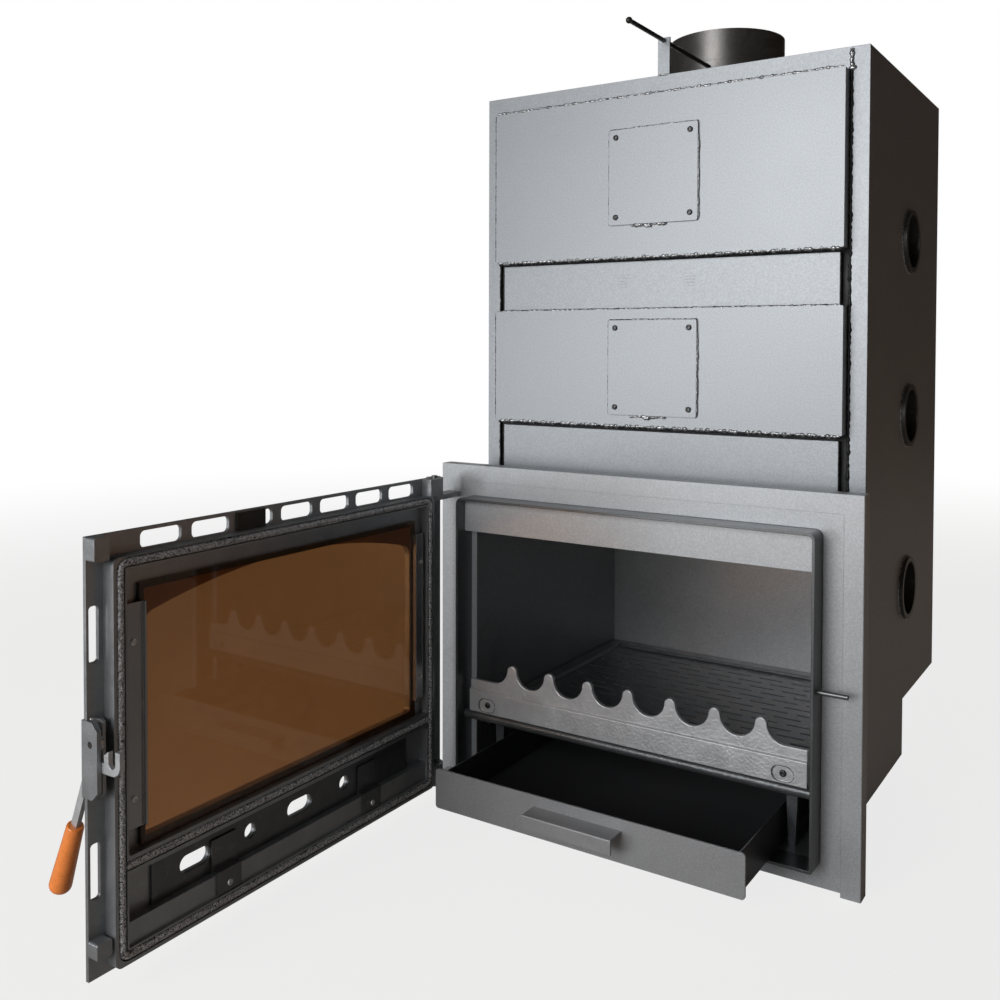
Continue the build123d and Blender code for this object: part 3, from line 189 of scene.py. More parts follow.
class Wiring:
    """Adds nodes to one shader tree and joins them."""

    def __init__(self, tree: bpy.types.NodeTree) -> None:
        """Keep the tree that the nodes go to."""
        self.tree = tree

    def node(self, kind: str, **values: object) -> bpy.types.Node:
        """Add a node and set its sockets or its properties.

        Args:
            kind: Blender's name of the node type, without its ShaderNode prefix.
            values: input sockets by their name, or properties of the node.

        Returns:
            The node.
        """
        made = self.tree.nodes.new("ShaderNode" + kind)
        for name, value in values.items():
            if hasattr(made, name):
                setattr(made, name, value)
        for name, value in values.items():
            if not hasattr(made, name):
                self.feed(value, made.inputs[name.replace("_", " ")])
        return made

    def feed(self, value: object, socket: bpy.types.NodeSocket) -> None:
        """Link a socket into another one, or set a plain value."""
        if isinstance(value, bpy.types.NodeSocket):
            self.tree.links.new(value, socket)
        else:
            socket.default_value = value

    def maths(self, operation: str, *terms: object, clamp: bool = False) -> bpy.types.NodeSocket:
        """Put a Math node over up to three terms and return its result."""
        made = self.tree.nodes.new("ShaderNodeMath")
        made.operation = operation
        made.use_clamp = clamp
        for i, term in enumerate(terms):
            self.feed(term, made.inputs[i])
        return made.outputs[0]

    def ramp(self, value: object, low: float, high: float, start: float = 0.0,
             end: float = 1.0) -> bpy.types.NodeSocket:
        """Map low..high of a value to start..end with a soft step and return the result."""
        made = self.tree.nodes.new("ShaderNodeMapRange")
        made.interpolation_type = "SMOOTHSTEP"
        for i, term in enumerate((value, low, high, start, end)):
            self.feed(term, made.inputs[i])
        return made.outputs[0]

    def mix(self, share: object, first: object, second: object) -> bpy.types.NodeSocket:
        """Mix two colours and return the result."""
        made = self.tree.nodes.new("ShaderNodeMix")
        made.data_type = "RGBA"
        self.feed(share, made.inputs[0])
        self.feed(first, made.inputs[6])
        self.feed(second, made.inputs[7])
        return made.outputs[2]


class EffectLibrary:
    """Shared shader node groups, each built once."""

    def __init__(self) -> None:
        """Build every group."""
        self.clouds = self._clouds()
        self.stains = self._stains()
        self.grain = self._grain()
        self.fibre_glints = self._fibre_glints()

    @staticmethod
    def _group(name: str, inputs: dict[str, str], outputs: dict[str, str]) -> tuple[
            bpy.types.NodeTree, Wiring, bpy.types.Node, bpy.types.Node]:
        """Start a group with named sockets.

        Args:
            name: name of the group.
            inputs: socket type by socket name.
            outputs: socket type by socket name.

        Returns:
            The tree, its wiring, its input node and its output node.
        """
        tree = bpy.data.node_groups.new(name, "ShaderNodeTree")
        for way, sockets in (("INPUT", inputs), ("OUTPUT", outputs)):
            for label, kind in sockets.items():
                tree.interface.new_socket(name=label, in_out=way, socket_type="NodeSocket" + kind)
        wires = Wiring(tree)
        return tree, wires, tree.nodes.new("NodeGroupInput"), tree.nodes.new("NodeGroupOutput")

    def _clouds(self) -> bpy.types.NodeTree:
        """Soft clouds about 1: two octaves of noise, one fine and one broad, added and centred."""
        tree, wires, given, out = self._group(
            "clouds", {"Vector": "Vector", "Size": "Float", "Amount": "Float"}, {"Value": "Float"})
        scale = wires.maths("DIVIDE", 1.0, given.outputs["Size"])
        broad = wires.node("TexNoise", Vector=given.outputs["Vector"], Scale=scale, Detail=5.0, Roughness=0.6)
        fine = wires.node("TexNoise", Vector=given.outputs["Vector"],
                          Scale=wires.maths("MULTIPLY", scale, 9.0), Detail=3.0, Roughness=0.6)
        both = wires.maths("ADD", wires.maths("MULTIPLY", broad.outputs[0], 1.4),
                           wires.maths("MULTIPLY", fine.outputs[0], 0.6))
        centred = wires.maths("MULTIPLY", wires.maths("SUBTRACT", both, 1.0), given.outputs["Amount"])
        wires.feed(wires.maths("ADD", wires.maths("MULTIPLY", centred, 2.0), 1.0), out.inputs["Value"])
        return tree

    def _stains(self) -> bpy.types.NodeTree:
        """A mask of stains: warped noise cut by a soft step, so Share of the surface is covered."""
        tree, wires, given, out = self._group(
            "stains", {"Vector": "Vector", "Size": "Float", "Share": "Float"}, {"Mask": "Float"})
        scale = wires.maths("DIVIDE", 1.0, given.outputs["Size"])
        noise = wires.node("TexNoise", Vector=given.outputs["Vector"], Scale=scale, Detail=9.0,
                           Roughness=0.68, Distortion=0.6)
        low = wires.maths("SUBTRACT", 0.66, wires.maths("MULTIPLY", given.outputs["Share"], 0.4))
        high = wires.maths("ADD", low, 0.16)
        wires.feed(wires.ramp(noise.outputs[0], low, high), out.inputs["Mask"])
        return tree

    def _grain(self) -> bpy.types.NodeTree:
        """Relief of a skin: pits of a cell pattern and a fine noise, given out as a normal."""
        tree, wires, given, out = self._group(
            "grain", {"Vector": "Vector", "Size": "Float", "Height": "Float", "Pits": "Float",
                      "Normal": "Vector"}, {"Normal": "Vector", "Relief": "Float"})
        scale = wires.maths("DIVIDE", 1.0, given.outputs["Size"])
        noise = wires.node("TexNoise", Vector=given.outputs["Vector"], Scale=scale, Detail=4.0, Roughness=0.6)
        cells = wires.node("TexVoronoi", Vector=given.outputs["Vector"],
                           Scale=wires.maths("MULTIPLY", scale, 0.45), feature="SMOOTH_F1")
        pits = wires.maths("MULTIPLY", wires.ramp(cells.outputs[0], 0.05, 0.75), given.outputs["Pits"])
        relief = wires.maths("ADD", noise.outputs[0], pits)
        bump = wires.node("Bump", Height=relief, Distance=given.outputs["Height"],
                          Normal=given.outputs["Normal"])
        bump.inputs["Strength"].default_value = 1.0
        wires.feed(bump.outputs[0], out.inputs["Normal"])
        wires.feed(relief, out.inputs["Relief"])
        return tree

    def _fibre_glints(self) -> bpy.types.NodeTree:
        """Pale fibre specks, partly painted glints of the braid: thin stretched noise, cut high."""
        tree, wires, given, out = self._group(
            "fibre_glints", {"Vector": "Vector", "Size": "Float", "Share": "Float"}, {"Mask": "Float"})
        scale = wires.maths("DIVIDE", 1.0, given.outputs["Size"])
        noise = wires.node("TexNoise", Vector=given.outputs["Vector"], Scale=scale, Detail=2.0,
                           Roughness=0.7, Distortion=1.6)
        low = wires.maths("SUBTRACT", 0.72, wires.maths("MULTIPLY", given.outputs["Share"], 0.5))
        wires.feed(wires.ramp(noise.outputs[0], low, wires.maths("ADD", low, 0.1)), out.inputs["Mask"])
        return tree


class FinishShop:
    """Makes each finish's material once."""

    def __init__(self) -> None:
        """Build the shared effects first."""
        self.effects = EffectLibrary()
        self._made: dict[str, bpy.types.Material] = {}

    def material(self, finish: Finish) -> bpy.types.Material:
        """Return the finish's material, made at its first use."""
        if finish.name not in self._made:
            self._made[finish.name] = self._make(finish)
        return self._made[finish.name]

    def dress(self, finish: Finish, *nodes: str) -> None:
        """Give CAD nodes this finish."""
        for name in nodes:
            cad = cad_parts[name]
            cad.data.materials.clear()
            cad.data.materials.append(self.material(finish))
            log.info("dressed %s in %s", name, finish.name)

    def _place(self, wires: Wiring, tree: bpy.types.NodeTree, **values: object) -> bpy.types.Node:
        """Put a shared group into a material and feed its inputs by name."""
        made = wires.tree.nodes.new("ShaderNodeGroup")
        made.node_tree = tree
        for name, value in values.items():
            wires.feed(value, made.inputs[name])
        return made

    def _make(self, finish: Finish) -> bpy.types.Material:
        """Build one material from its finish: clouds and stains for colour, grain for relief."""
        material = bpy.data.materials.new(finish.name)
        material.use_nodes = True
        wires = Wiring(material.node_tree)
        shader = material.node_tree.nodes["Principled BSDF"]
        place = wires.node("TexCoord").outputs["Object"]
        effects = self.effects
        clouds = self._place(wires, effects.clouds, Vector=place, Size=finish.mottle_size,
                             Amount=finish.mottle)
        stain_size = finish.mottle_size * (1.6 if finish.surface is Surface.SHEET else 0.7)
        stains = self._place(wires, effects.stains, Vector=place, Size=stain_size, Share=finish.stain)
        tinted = wires.mix(wires.maths("MULTIPLY", stains.outputs[0], 0.75), (*finish.colour, 1.0),
                           (*finish.tint, 1.0))
        shaded = wires.node("VectorMath", operation="SCALE")
        wires.feed(tinted, shaded.inputs[0])
        wires.feed(clouds.outputs[0], shaded.inputs["Scale"])
        colour = shaded.outputs[0]
        if finish.surface is Surface.SHEET:
            speckle = wires.node("TexNoise", Vector=place, Scale=1.0 / 0.0022, Detail=2.0, Roughness=0.8)
            flake = wires.ramp(speckle.outputs[0], 0.35, 0.68, 0.90, 1.12)
            flaked = wires.node("VectorMath", operation="SCALE")
            wires.feed(colour, flaked.inputs[0])
            wires.feed(flake, flaked.inputs["Scale"])
            colour = flaked.outputs[0]
        if finish.surface is Surface.BRAID:
            # pale fibre specks, partly painted glints of the braid's sheen
            fibre_glints = self._place(wires, effects.fibre_glints, Vector=place, Size=finish.mottle_size * 0.35,
                                 Share=finish.stain)
            colour = wires.mix(fibre_glints.outputs[0], (*finish.colour, 1.0), (*finish.tint, 1.0))
        wires.feed(colour, shader.inputs["Base Color"])
        rough = wires.maths("ADD", finish.roughness, wires.maths(
            "MULTIPLY", wires.maths("SUBTRACT", clouds.outputs[0], 1.0), 0.5), clamp=True)
        shader.inputs["Metallic"].default_value = finish.metallic
        if finish.surface is Surface.GLASS:
            shader.inputs["Roughness"].default_value = finish.roughness
            shader.inputs["Transmission Weight"].default_value = 0.92
            shader.inputs["IOR"].default_value = 1.5
            return material
        wires.feed(rough, shader.inputs["Roughness"])
        edge = wires.node("Bevel", samples=4)
        edge.inputs["Radius"].default_value = finish.edge
        pits = 0.9 if finish.surface is Surface.CAST else 0.0
        grain = self._place(wires, effects.grain, Vector=place, Size=finish.grain_size,
                            Height=finish.grain_height, Pits=pits, Normal=edge.outputs[0])
        wires.feed(grain.outputs["Normal"], shader.inputs["Normal"])
        if finish is ORANGE_GRIP:
            shader.inputs["Coat Weight"].default_value = 0.4
            shader.inputs["Coat Roughness"].default_value = 0.12
        return material


@dataclass
class Sheet:
    """A grid of points that becomes a mesh.

    Args:
        points: array of rows x columns x 3, in metres.
        wrap_rows: whether the last row joins the first.
        wrap_columns: whether the last column joins the first.
    """

    points: np.ndarray
    wrap_rows: bool = False
    wrap_columns: bool = True

    def faces(self) -> np.ndarray:
        """Quads of the grid: each joins a point, its next in the row, and the two below them."""
        rows, columns = self.points.shape[:2]
        index = np.arange(rows * columns).reshape(rows, columns)
        if self.wrap_rows:
            index = np.vstack([index, index[:1]])
        if self.wrap_columns:
            index = np.hstack([index, index[:, :1]])
        quads = np.stack([index[:-1, :-1], index[:-1, 1:], index[1:, 1:], index[1:, :-1]], axis=-1)
        return quads.reshape(-1, 4)


class MeshMaker:
    """Turns grids into objects that ride on a body."""

    def __init__(self, shop: FinishShop) -> None:
        """Keep the shop that the materials come from."""
        self.shop = shop

    def piece(self, name: str, sheets: list[Sheet], finish: Finish, body: str, slot: str,
              replaced: tuple[str, ...] = (), smooth: bool = True) -> bpy.types.Object:
        """Join grids into one object, dress it and seat it on its body.

        Args:
            name: name of the piece.
            sheets: the grids.
            finish: its finish.
            body: the CAD body that it rides on.
            slot: the record's material slot; not used.
            replaced: CAD nodes that it stands for.
            smooth: whether its faces are smooth shaded.

        Returns:
            The object.
        """
        points, quads, start = [], [], 0
        for sheet in sheets:
            points.append(sheet.points.reshape(-1, 3))
            quads.append(sheet.faces() + start)
            start += len(points[-1])
        mesh = bpy.data.meshes.new(name)
        mesh.from_pydata(np.vstack(points).tolist(), [], np.vstack(quads).tolist())
        mesh.update()
        mesh.validate()
        self._merge(mesh)
        mesh.polygons.foreach_set("use_smooth", [smooth] * len(mesh.polygons))
        mesh.materials.append(self.shop.material(finish))
        made = bpy.data.objects.new(name, mesh)
        bpy.context.scene.collection.objects.link(made)
        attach(made, body)
        if replaced:
            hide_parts(*replaced)
        log.info("made %s: %d faces on %s", name, len(mesh.polygons), body)
        return made

    @staticmethod
    def _merge(mesh: bpy.types.Mesh) -> None:
        """Weld points that coincide, as at poles, and turn every face outwards."""
        import bmesh
        work = bmesh.new()
        work.from_mesh(mesh)
        bmesh.ops.remove_doubles(work, verts=work.verts, dist=1e-6)
        bmesh.ops.dissolve_degenerate(work, dist=1e-7, edges=work.edges)
        bmesh.ops.recalc_face_normals(work, faces=work.faces)
        work.to_mesh(mesh)
        work.free()


def waves(length: np.ndarray, seed: int, sizes: tuple[float, ...]) -> np.ndarray:
    """A smooth random line: sines with seeded phases, each as strong as its wavelength.

    Args:
        length: distance along the line.
        seed: seed of the phases.
        sizes: wavelengths.

    Returns:
        Values of about -1 to 1.
    """
    dice = np.random.default_rng(seed)
    phases = dice.uniform(0, 2 * np.pi, len(sizes))
    stretch = dice.uniform(0.85, 1.15, len(sizes))
    total = sum(np.sin(2 * np.pi * length / (size * s) + phase)
                for size, s, phase in zip(sizes, stretch, phases))
    return total / len(sizes)


def along(corners: np.ndarray, step: float) -> np.ndarray:
    """Points at even steps along a run of straight lines, by linear interpolation over its length."""
    runs = np.linalg.norm(np.diff(corners, axis=0), axis=1)
    marks = np.concatenate([[0.0], np.cumsum(runs)])
    places = np.linspace(0.0, marks[-1], max(3, int(marks[-1] / step)))
    return np.stack([np.interp(places, marks, corners[:, k]) for k in range(3)], axis=1)


def tube(path: np.ndarray, radii: np.ndarray, plane_normal: Point, closed: bool = False) -> Sheet:
    """A tube about a flat path.

    Each ring lies across the path: centre + r (cos v n + sin v b), where b is the plane's normal and n
    is its cross product with the path's direction. Open ends close to a point.

    Args:
        path: N x 3 points.
        radii: N x M radii, one for each point of each ring.
        plane_normal: normal of the plane that holds the path.
        closed: whether the path is a loop.

    Returns:
        The tube's grid.
    """
    if closed:
        tangent = np.roll(path, -1, axis=0) - np.roll(path, 1, axis=0)
    else:
        tangent = np.gradient(path, axis=0)
    tangent /= np.linalg.norm(tangent, axis=1, keepdims=True)
    binormal = np.broadcast_to(np.asarray(plane_normal, float), tangent.shape)
    normal = np.cross(binormal, tangent)
    normal /= np.linalg.norm(normal, axis=1, keepdims=True)
    angle = np.linspace(0, 2 * np.pi, radii.shape[1], endpoint=False)
    if not closed:
        radii = radii.copy()
        radii[0] = radii[-1] = 0.0
    ring = (np.cos(angle)[None, :, None] * normal[:, None, :]
            + np.sin(angle)[None, :, None] * binormal[:, None, :])
    return Sheet(path[:, None, :] + radii[:, :, None] * ring, wrap_rows=closed)


def rounded_loop(width: float, height: float, radius: float, step: float) -> np.ndarray:
    """Points at even steps round a rectangle with round corners, centred on zero, as an N x 2 array.

    Args:
        width: its full width.
        height: its full height.
        radius: radius of its corners.
        step: distance between points.

    Returns:
        The loop, without its last point repeated.
    """
    turn = np.linspace(0, np.pi / 2, 24)
    centres = ((width / 2 - radius, height / 2 - radius, 0.0), (radius - width / 2, height / 2 - radius, 0.5),
               (radius - width / 2, radius - height / 2, 1.0), (width / 2 - radius, radius - height / 2, 1.5))
    arcs = [np.stack([cx + radius * np.cos(turn + q * np.pi), cy + radius * np.sin(turn + q * np.pi)], axis=1)
            for cx, cy, q in centres]
    ring = np.vstack([*arcs, arcs[0][:1]])
    flat = np.column_stack([ring, np.zeros(len(ring))])
    return along(flat, step)[:-1, :2]


@dataclass
class Studio:
    """Pale floor, soft lamps and the camera of the photograph.

    Args:
        camera: the camera's place.
        yaw: its turn about +Z, in radians.
        pitch: its tilt, in radians.
        roll: its turn about its own view, in radians.
        focal_share: focal length over the picture's width.
        shift: sideways and upwards shift of the picture.
        floor_half: half the width of the floor.
        floor_colour: colour of the floor where it lights and shades the stove.
        glow_reach: distances from the middle between which the floor grows white.
        glow_share: share of white at those two distances.
        ambient_colour: colour of the light from all round.
        ambient: strength of that light.
        through: share of the white background that shows through the glass.
        mirrored: share of it that shows in reflections.
    """

    camera: Point = (0.7077563, -1.8234244, 0.7516947)
    yaw: float = 0.5811
    pitch: float = -0.0257
    roll: float = 0.0024
    focal_share: float = 1.0478133
    shift: tuple[float, float] = (0.0, -0.12775)
    floor_half: float = 9.0
    floor_colour: tuple[float, ...] = (0.60, 0.56, 0.51, 1.0)
    glow_reach: tuple[float, float] = (1.6, 5.0)
    glow_share: tuple[float, float] = (0.80, 1.0)
    ambient_colour: tuple[float, ...] = (1.0, 0.86, 0.72, 1.0)
    ambient: float = 0.015
    through: float = 0.3
    mirrored: float = 0.012

    def build(self) -> None:
        """Make the camera, the floor, the lamps and the world."""
        self._camera()
        self._floor()
        self._lamp("key", (-0.55, -4.6, 1.7), (0.0, -0.3, 0.6), 2.2, 105.0, (0.985, 0.99, 1.0))
        self._lamp("low_fill", (-2.0, -4.0, 0.5), (-0.3, -0.7, 0.35), 0.9, 22.0, (0.95, 0.975, 1.0))
        self._lamp("side_warmth", (3.4, 1.6, 0.3), (0.3, 0.0, 0.4), 1.6, 5.0, (1.0, 0.46, 0.20))
        self._lamp("back_fill", (-1.6, 4.0, 2.2), (0.0, 0.0, 0.6), 2.5, 50.0, (1.0, 0.98, 0.95))
        self._world()
        bpy.context.scene.view_settings.view_transform = "Standard"

    def _camera(self) -> None:
        """Aim the camera: turn about +Z, tilt from the horizon, then roll about the view."""
        data = bpy.data.cameras.new("camera")
        data.sensor_width = 36.0
        data.lens = 36.0 * self.focal_share
        data.shift_x, data.shift_y = self.shift
        made = bpy.data.objects.new("camera", data)
        turn = (Matrix.Rotation(self.yaw, 4, "Z") @ Matrix.Rotation(math.pi / 2 + self.pitch, 4, "X")
                @ Matrix.Rotation(self.roll, 4, "Z"))
        made.matrix_world = Matrix.Translation(self.camera) @ turn
        bpy.context.scene.collection.objects.link(made)
        bpy.context.scene.camera = made

    @staticmethod
    def _lamp(name: str, place: Point, target: Point, size: float, power: float, colour: Colour) -> None:
        """Hang one square lamp that looks at a target."""
        data = bpy.data.lights.new(name, "AREA")
        data.shape = "SQUARE"
        data.size = size
        data.energy = power
        data.color = colour
        made = bpy.data.objects.new(name, data)
        made.location = place
        made.rotation_euler = (Vector(target) - Vector(place)).to_track_quat("-Z", "Y").to_euler()
        bpy.context.scene.collection.objects.link(made)

    def _floor(self) -> None:
        """Lay a pale floor that keeps the shadow and looks nearly white to the camera."""
        mesh = bpy.data.meshes.new("floor")
        half = self.floor_half
        mesh.from_pydata([(-half, -half, 0), (half, -half, 0), (half, half, 0), (-half, half, 0)], [],
                         [(0, 1, 2, 3)])
        floor = bpy.data.objects.new("floor", mesh)
        bpy.context.scene.collection.objects.link(floor)
        material = bpy.data.materials.new("pale_floor")
        material.use_nodes = True
        wires = Wiring(material.node_tree)
        shader = material.node_tree.nodes["Principled BSDF"]
        shader.inputs["Base Color"].default_value = self.floor_colour
        shader.inputs["Roughness"].default_value = 0.9
        glow = wires.node("Emission")
        glow.inputs["Strength"].default_value = 1.0
        seen = wires.node("LightPath").outputs["Is Camera Ray"]
        mixed = wires.node("MixShader")
        place = wires.node("TexCoord").outputs["Object"]
        away = wires.node("VectorMath", operation="LENGTH")
        wires.feed(place, away.inputs[0])
        share = wires.ramp(away.outputs["Value"], *self.glow_reach, *self.glow_share)
        wires.feed(wires.maths("MULTIPLY", seen, share), mixed.inputs[0])
        wires.feed(shader.outputs[0], mixed.inputs[1])
        wires.feed(glow.outputs[0], mixed.inputs[2])
        wires.feed(mixed.outputs[0], material.node_tree.nodes["Material Output"].inputs[0])
        mesh.materials.append(material)

    def _world(self) -> None:
        """Light the object faintly from all round, and show white to the camera and in reflections."""
        world = bpy.data.worlds.new("studio")
        bpy.context.scene.world = world
        world.use_nodes = True
        wires = Wiring(world.node_tree)
        ambient = world.node_tree.nodes["Background"]
        ambient.inputs[0].default_value = self.ambient_colour
        ambient.inputs[1].default_value = self.ambient
        white = wires.node("Background", Strength=1.0)
        white.inputs[0].default_value = (1.0, 1.0, 1.0, 1.0)
        path = wires.node("LightPath")
        through = wires.maths("MULTIPLY", path.outputs["Is Transmission Ray"], self.through)
        shown = wires.maths("MAXIMUM", path.outputs["Is Camera Ray"], through)
        mirrored = wires.maths("MULTIPLY", path.outputs["Is Glossy Ray"], self.mirrored)
        mixed = wires.node("MixShader")
        wires.feed(wires.maths("MAXIMUM", shown, mirrored), mixed.inputs[0])
        wires.feed(ambient.outputs[0], mixed.inputs[1])
        wires.feed(white.outputs[0], mixed.inputs[2])
        wires.feed(mixed.outputs[0], world.node_tree.nodes["World Output"].inputs[0])


@dataclass
class WeldSeams:
    """Weld beads along the seams of the body, and painted shade lines in the gaps beside them.

    Args:
        maker: makes the meshes.
        bead: middle radius of a bead.
        ripple: distance between the ripples of a bead.
        sides: points round a bead.
        step: distance between rings.
        end_inset: distance of a level bead's ends from the sides of its piece.
        weld_depth: depth of a bead's middle behind the panel's face.
        seam_gap: distance of a painted shade line from the edge that it follows.
        tack_depth: depth of a tack's middle before the back of the hatch cover.
        tack_shift: how far the tacks stand left of the cover's middle.
        rough: share by which the radius of a hand-laid bead swings.
        even: share by which the radius of a painted shade line swings.
        scuff_inset: distance of the scuffs from the hatch's sides.
        scuff_pitch: distance between the streaks of a scuff.
        scuff_lift: height of the scuffs above the middle of the recessed face.
        rim_radius: radius of the painted shade line round a screw recess.
        rim_size: half the straight part and the bend's radius of that line.
    """

    maker: MeshMaker
    bead: float = 2.1 * MM
    ripple: float = 3.2 * MM
    sides: int = 8
    step: float = 1.4 * MM
    end_inset: float = 3.0 * MM
    weld_depth: float = 1.6 * MM
    seam_gap: float = 0.6 * MM
    tack_depth: float = 1.0 * MM
    tack_shift: float = 8.0 * MM
    rough: float = 0.8
    even: float = 0.5
    scuff_inset: float = 18.0 * MM
    scuff_pitch: float = 4.8 * MM
    scuff_lift: float = 6.0 * MM
    rim_radius: float = 0.5 * MM
    rim_size: tuple[float, float] = (5.0 * MM, 11.0 * MM)

    def _bead(self, corners: list[Point], normal: Point, seed: int, radius: float | None = None,
              rough: float = 0.35) -> Sheet:
        """One bead: a tube whose radius swings with the ripples and whose middle wanders a little.

        Args:
            corners: the seam's corners.
            normal: normal of the plane that holds the seam.
            seed: seed of its unevenness.
            radius: middle radius.
            rough: share by which the radius swings.

        Returns:
            The bead's grid.
        """
        middle = self.bead if radius is None else radius
        path = along(np.asarray(corners, float), self.step)
        run = np.concatenate([[0.0], np.cumsum(np.linalg.norm(np.diff(path, axis=0), axis=1))])
        swing = waves(run, seed, (0.045, 0.019, 0.0083)) * rough
        ripple = 0.12 * np.cos(2 * np.pi * run / self.ripple)
        radii = middle * (1 + swing + ripple)
        wander = waves(run, seed + 50, (0.06, 0.027, 0.011)) * middle * 0.3
        tangent = np.gradient(path, axis=0)
        tangent /= np.linalg.norm(tangent, axis=1, keepdims=True)
        aside = np.cross(np.asarray(normal, float), tangent)
        return tube(path + aside * wander[:, None], np.repeat(radii[:, None], self.sides, axis=1), normal)

    def _ring(self, centre: Point, axis: str, radius: float, seed: int, bead: float) -> Sheet:
        """A bead round a tube: its radius swings round the circle with whole waves, so that it closes."""
        turn = np.linspace(0, 2 * np.pi, max(60, int(2 * np.pi * radius / self.step)), endpoint=False)
        swing = sum(np.sin(k * turn + seed * k) for k in (5, 13, 29)) / 3 * 0.25
        ripples = round(2 * np.pi * radius / self.ripple)
        radii = bead * (1 + swing + 0.12 * np.cos(ripples * turn))
        flat = np.stack([radius * np.cos(turn), radius * np.sin(turn), np.zeros_like(turn)], axis=1)
        order = {"Z": (0, 1, 2), "X": (2, 0, 1)}[axis]
        path = flat[:, order] + np.asarray(centre, float)
        normal = {"Z": (0.0, 0.0, 1.0), "X": (1.0, 0.0, 0.0)}[axis]
        return tube(path, np.repeat(radii[:, None], self.sides, axis=1), normal, closed=True)

    def build(self) -> None:
        """Lay every bead where the photograph shows one, and round the sockets and the flue collar."""
        beads, seams = self._panel_seams()
        beads += self._hatch_tacks() + self._fittings()
        self.maker.piece("weld_beads", beads, WELD_STEEL, STOVE, "body_paint")
        # painted shade: near-black lines in the gaps beside the panels, the post, the hatches and the
        # recessed faces
        self.maker.piece("painted_shade_lines", seams, SEAM_SHADE, STOVE, "body_paint")
        self.maker.piece("scuff_marks", self._scuffs(), SCUFF, STOVE, "body_paint")
        # painted shade round the log retainer's oval screw recesses
        self.maker.piece("recess_shade_rims", self._recess_shade_rims(), SEAM_SHADE, STOVE, "body_paint")

    def _level(self, ends: tuple[float, float], y: float, z: float, seed: int, radius: float,
               rough: float) -> Sheet:
        """A bead across the front between two ends, at one depth and height."""
        return self._bead([(ends[0], y, z), (ends[1], y, z)], OUT, seed, radius, rough)

    def _upright(self, x: float, y: float, heights: tuple[float, float], seed: int, radius: float,
                 rough: float) -> Sheet:
        """A bead up the front between two heights, at one depth."""
        return self._bead([(x, y, heights[0]), (x, y, heights[1])], OUT, seed, radius, rough)

    def _across(self, box: tuple[Vector, Vector], y: float, z: float, seed: int, radius: float,
                rough: float) -> Sheet:
        """A bead at one depth and height over the width of a piece's box."""
        ends = (box[0].x + self.end_inset, box[1].x - self.end_inset)
        return self._level(ends, y, z, seed, radius, rough)

    def _panel_seams(self) -> tuple[list[Sheet], list[Sheet]]:
        """Beads round the raised panels and the recessed faces, and a painted shade line beside each."""
        upper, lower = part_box("front_panel_upper"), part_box("front_panel_lower")
        top_face, foot_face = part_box("pocket_face_upper"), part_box("pocket_face_lower")
        wall_y, wall_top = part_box("jacket_top")[0].y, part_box("jacket_top")[1].z
        face_y = upper[0].y
        weld_y = face_y + self.weld_depth
        post_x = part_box("jacket_side_right")[0].x
        post = (foot_face[0].z, upper[1].z)
        seam_y = wall_y + 0.4 * MM
        beads = [
            self._across(upper, weld_y, upper[1].z + 0.8 * MM, 3, 1.9 * MM, self.rough),
            self._across(upper, weld_y, upper[0].z - 0.4 * MM, 17, 2.1 * MM, self.rough),
            self._across(lower, weld_y, lower[0].z - 0.4 * MM, 23, 2.4 * MM, self.rough),
            self._across(lower, face_y + 3.0 * MM, lower[1].z + 0.2 * MM, 27, 1.4 * MM, self.rough),
            self._upright(post_x - 1.0 * MM, wall_y - 0.5 * MM, (upper[1].z, wall_top - 2.0 * MM), 5,
                          3.0 * MM, self.even),
            self._bead([(post_x - 6.0 * MM, wall_y - 1.0 * MM, upper[1].z + 1.0 * MM),
                        (post_x + 6.0 * MM, wall_y - 1.0 * MM, upper[1].z + 2.0 * MM)],
                       OUT, 9, 3.6 * MM, self.even),
        ]
        # painted shade lines in the gaps beside the panels, the right post, the hatches and the recessed
        # faces
        seams = [
            self._upright(post_x - 1.2 * MM, seam_y, post, 7, 2.4 * MM, self.even),
            self._upright(1.0 * MM - post_x, seam_y, post, 11, 1.8 * MM, 0.35),
            self._across(upper, face_y + 4.0 * MM, upper[1].z + 1.2 * MM, 4, 1.5 * MM, 0.6),
            self._across(upper, face_y + 5.0 * MM, upper[0].z - 2.2 * MM, 18, 2.2 * MM, self.even),
            self._across(lower, face_y + 5.0 * MM, lower[0].z - 2.4 * MM, 24, 2.4 * MM, self.even),
            self._across(top_face, top_face[0].y + self.seam_gap, top_face[0].z - 0.6 * MM, 29,
                         1.2 * MM, 0.6),
            self._across(foot_face, foot_face[0].y + self.seam_gap, foot_face[0].z - 0.4 * MM, 31,
                         1.1 * MM, 0.6),
        ]
        for (low, high), seed in ((upper, 33), (lower, 37)):
            seams.append(self._upright(low.x - 0.2 * MM, face_y + self.seam_gap,
                                       (low.z + 2.0 * MM, high.z - 2.0 * MM), seed, 0.8 * MM, self.even))
        for level, seed in (("upper", 81), ("lower", 85)):
            low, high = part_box(f"hatch_cover_{level}")
            back = high.y - self.seam_gap
            seams.append(self._upright(low.x - self.seam_gap, back, (low.z, high.z), seed,
                                       0.9 * MM, self.even))
            seams.append(self._level((low.x, high.x), back, high.z + 0.5 * MM, seed + 1,
                                     0.9 * MM, self.even))
        for (low, high), seed in ((top_face, 51), (foot_face, 53)):
            for x in (low.x - self.seam_gap, high.x + self.seam_gap):
                seams.append(self._upright(x, low.y + 1.0 * MM, (low.z, high.z), seed + int(x > 0),
                                           1.0 * MM, self.even))
        return beads, seams

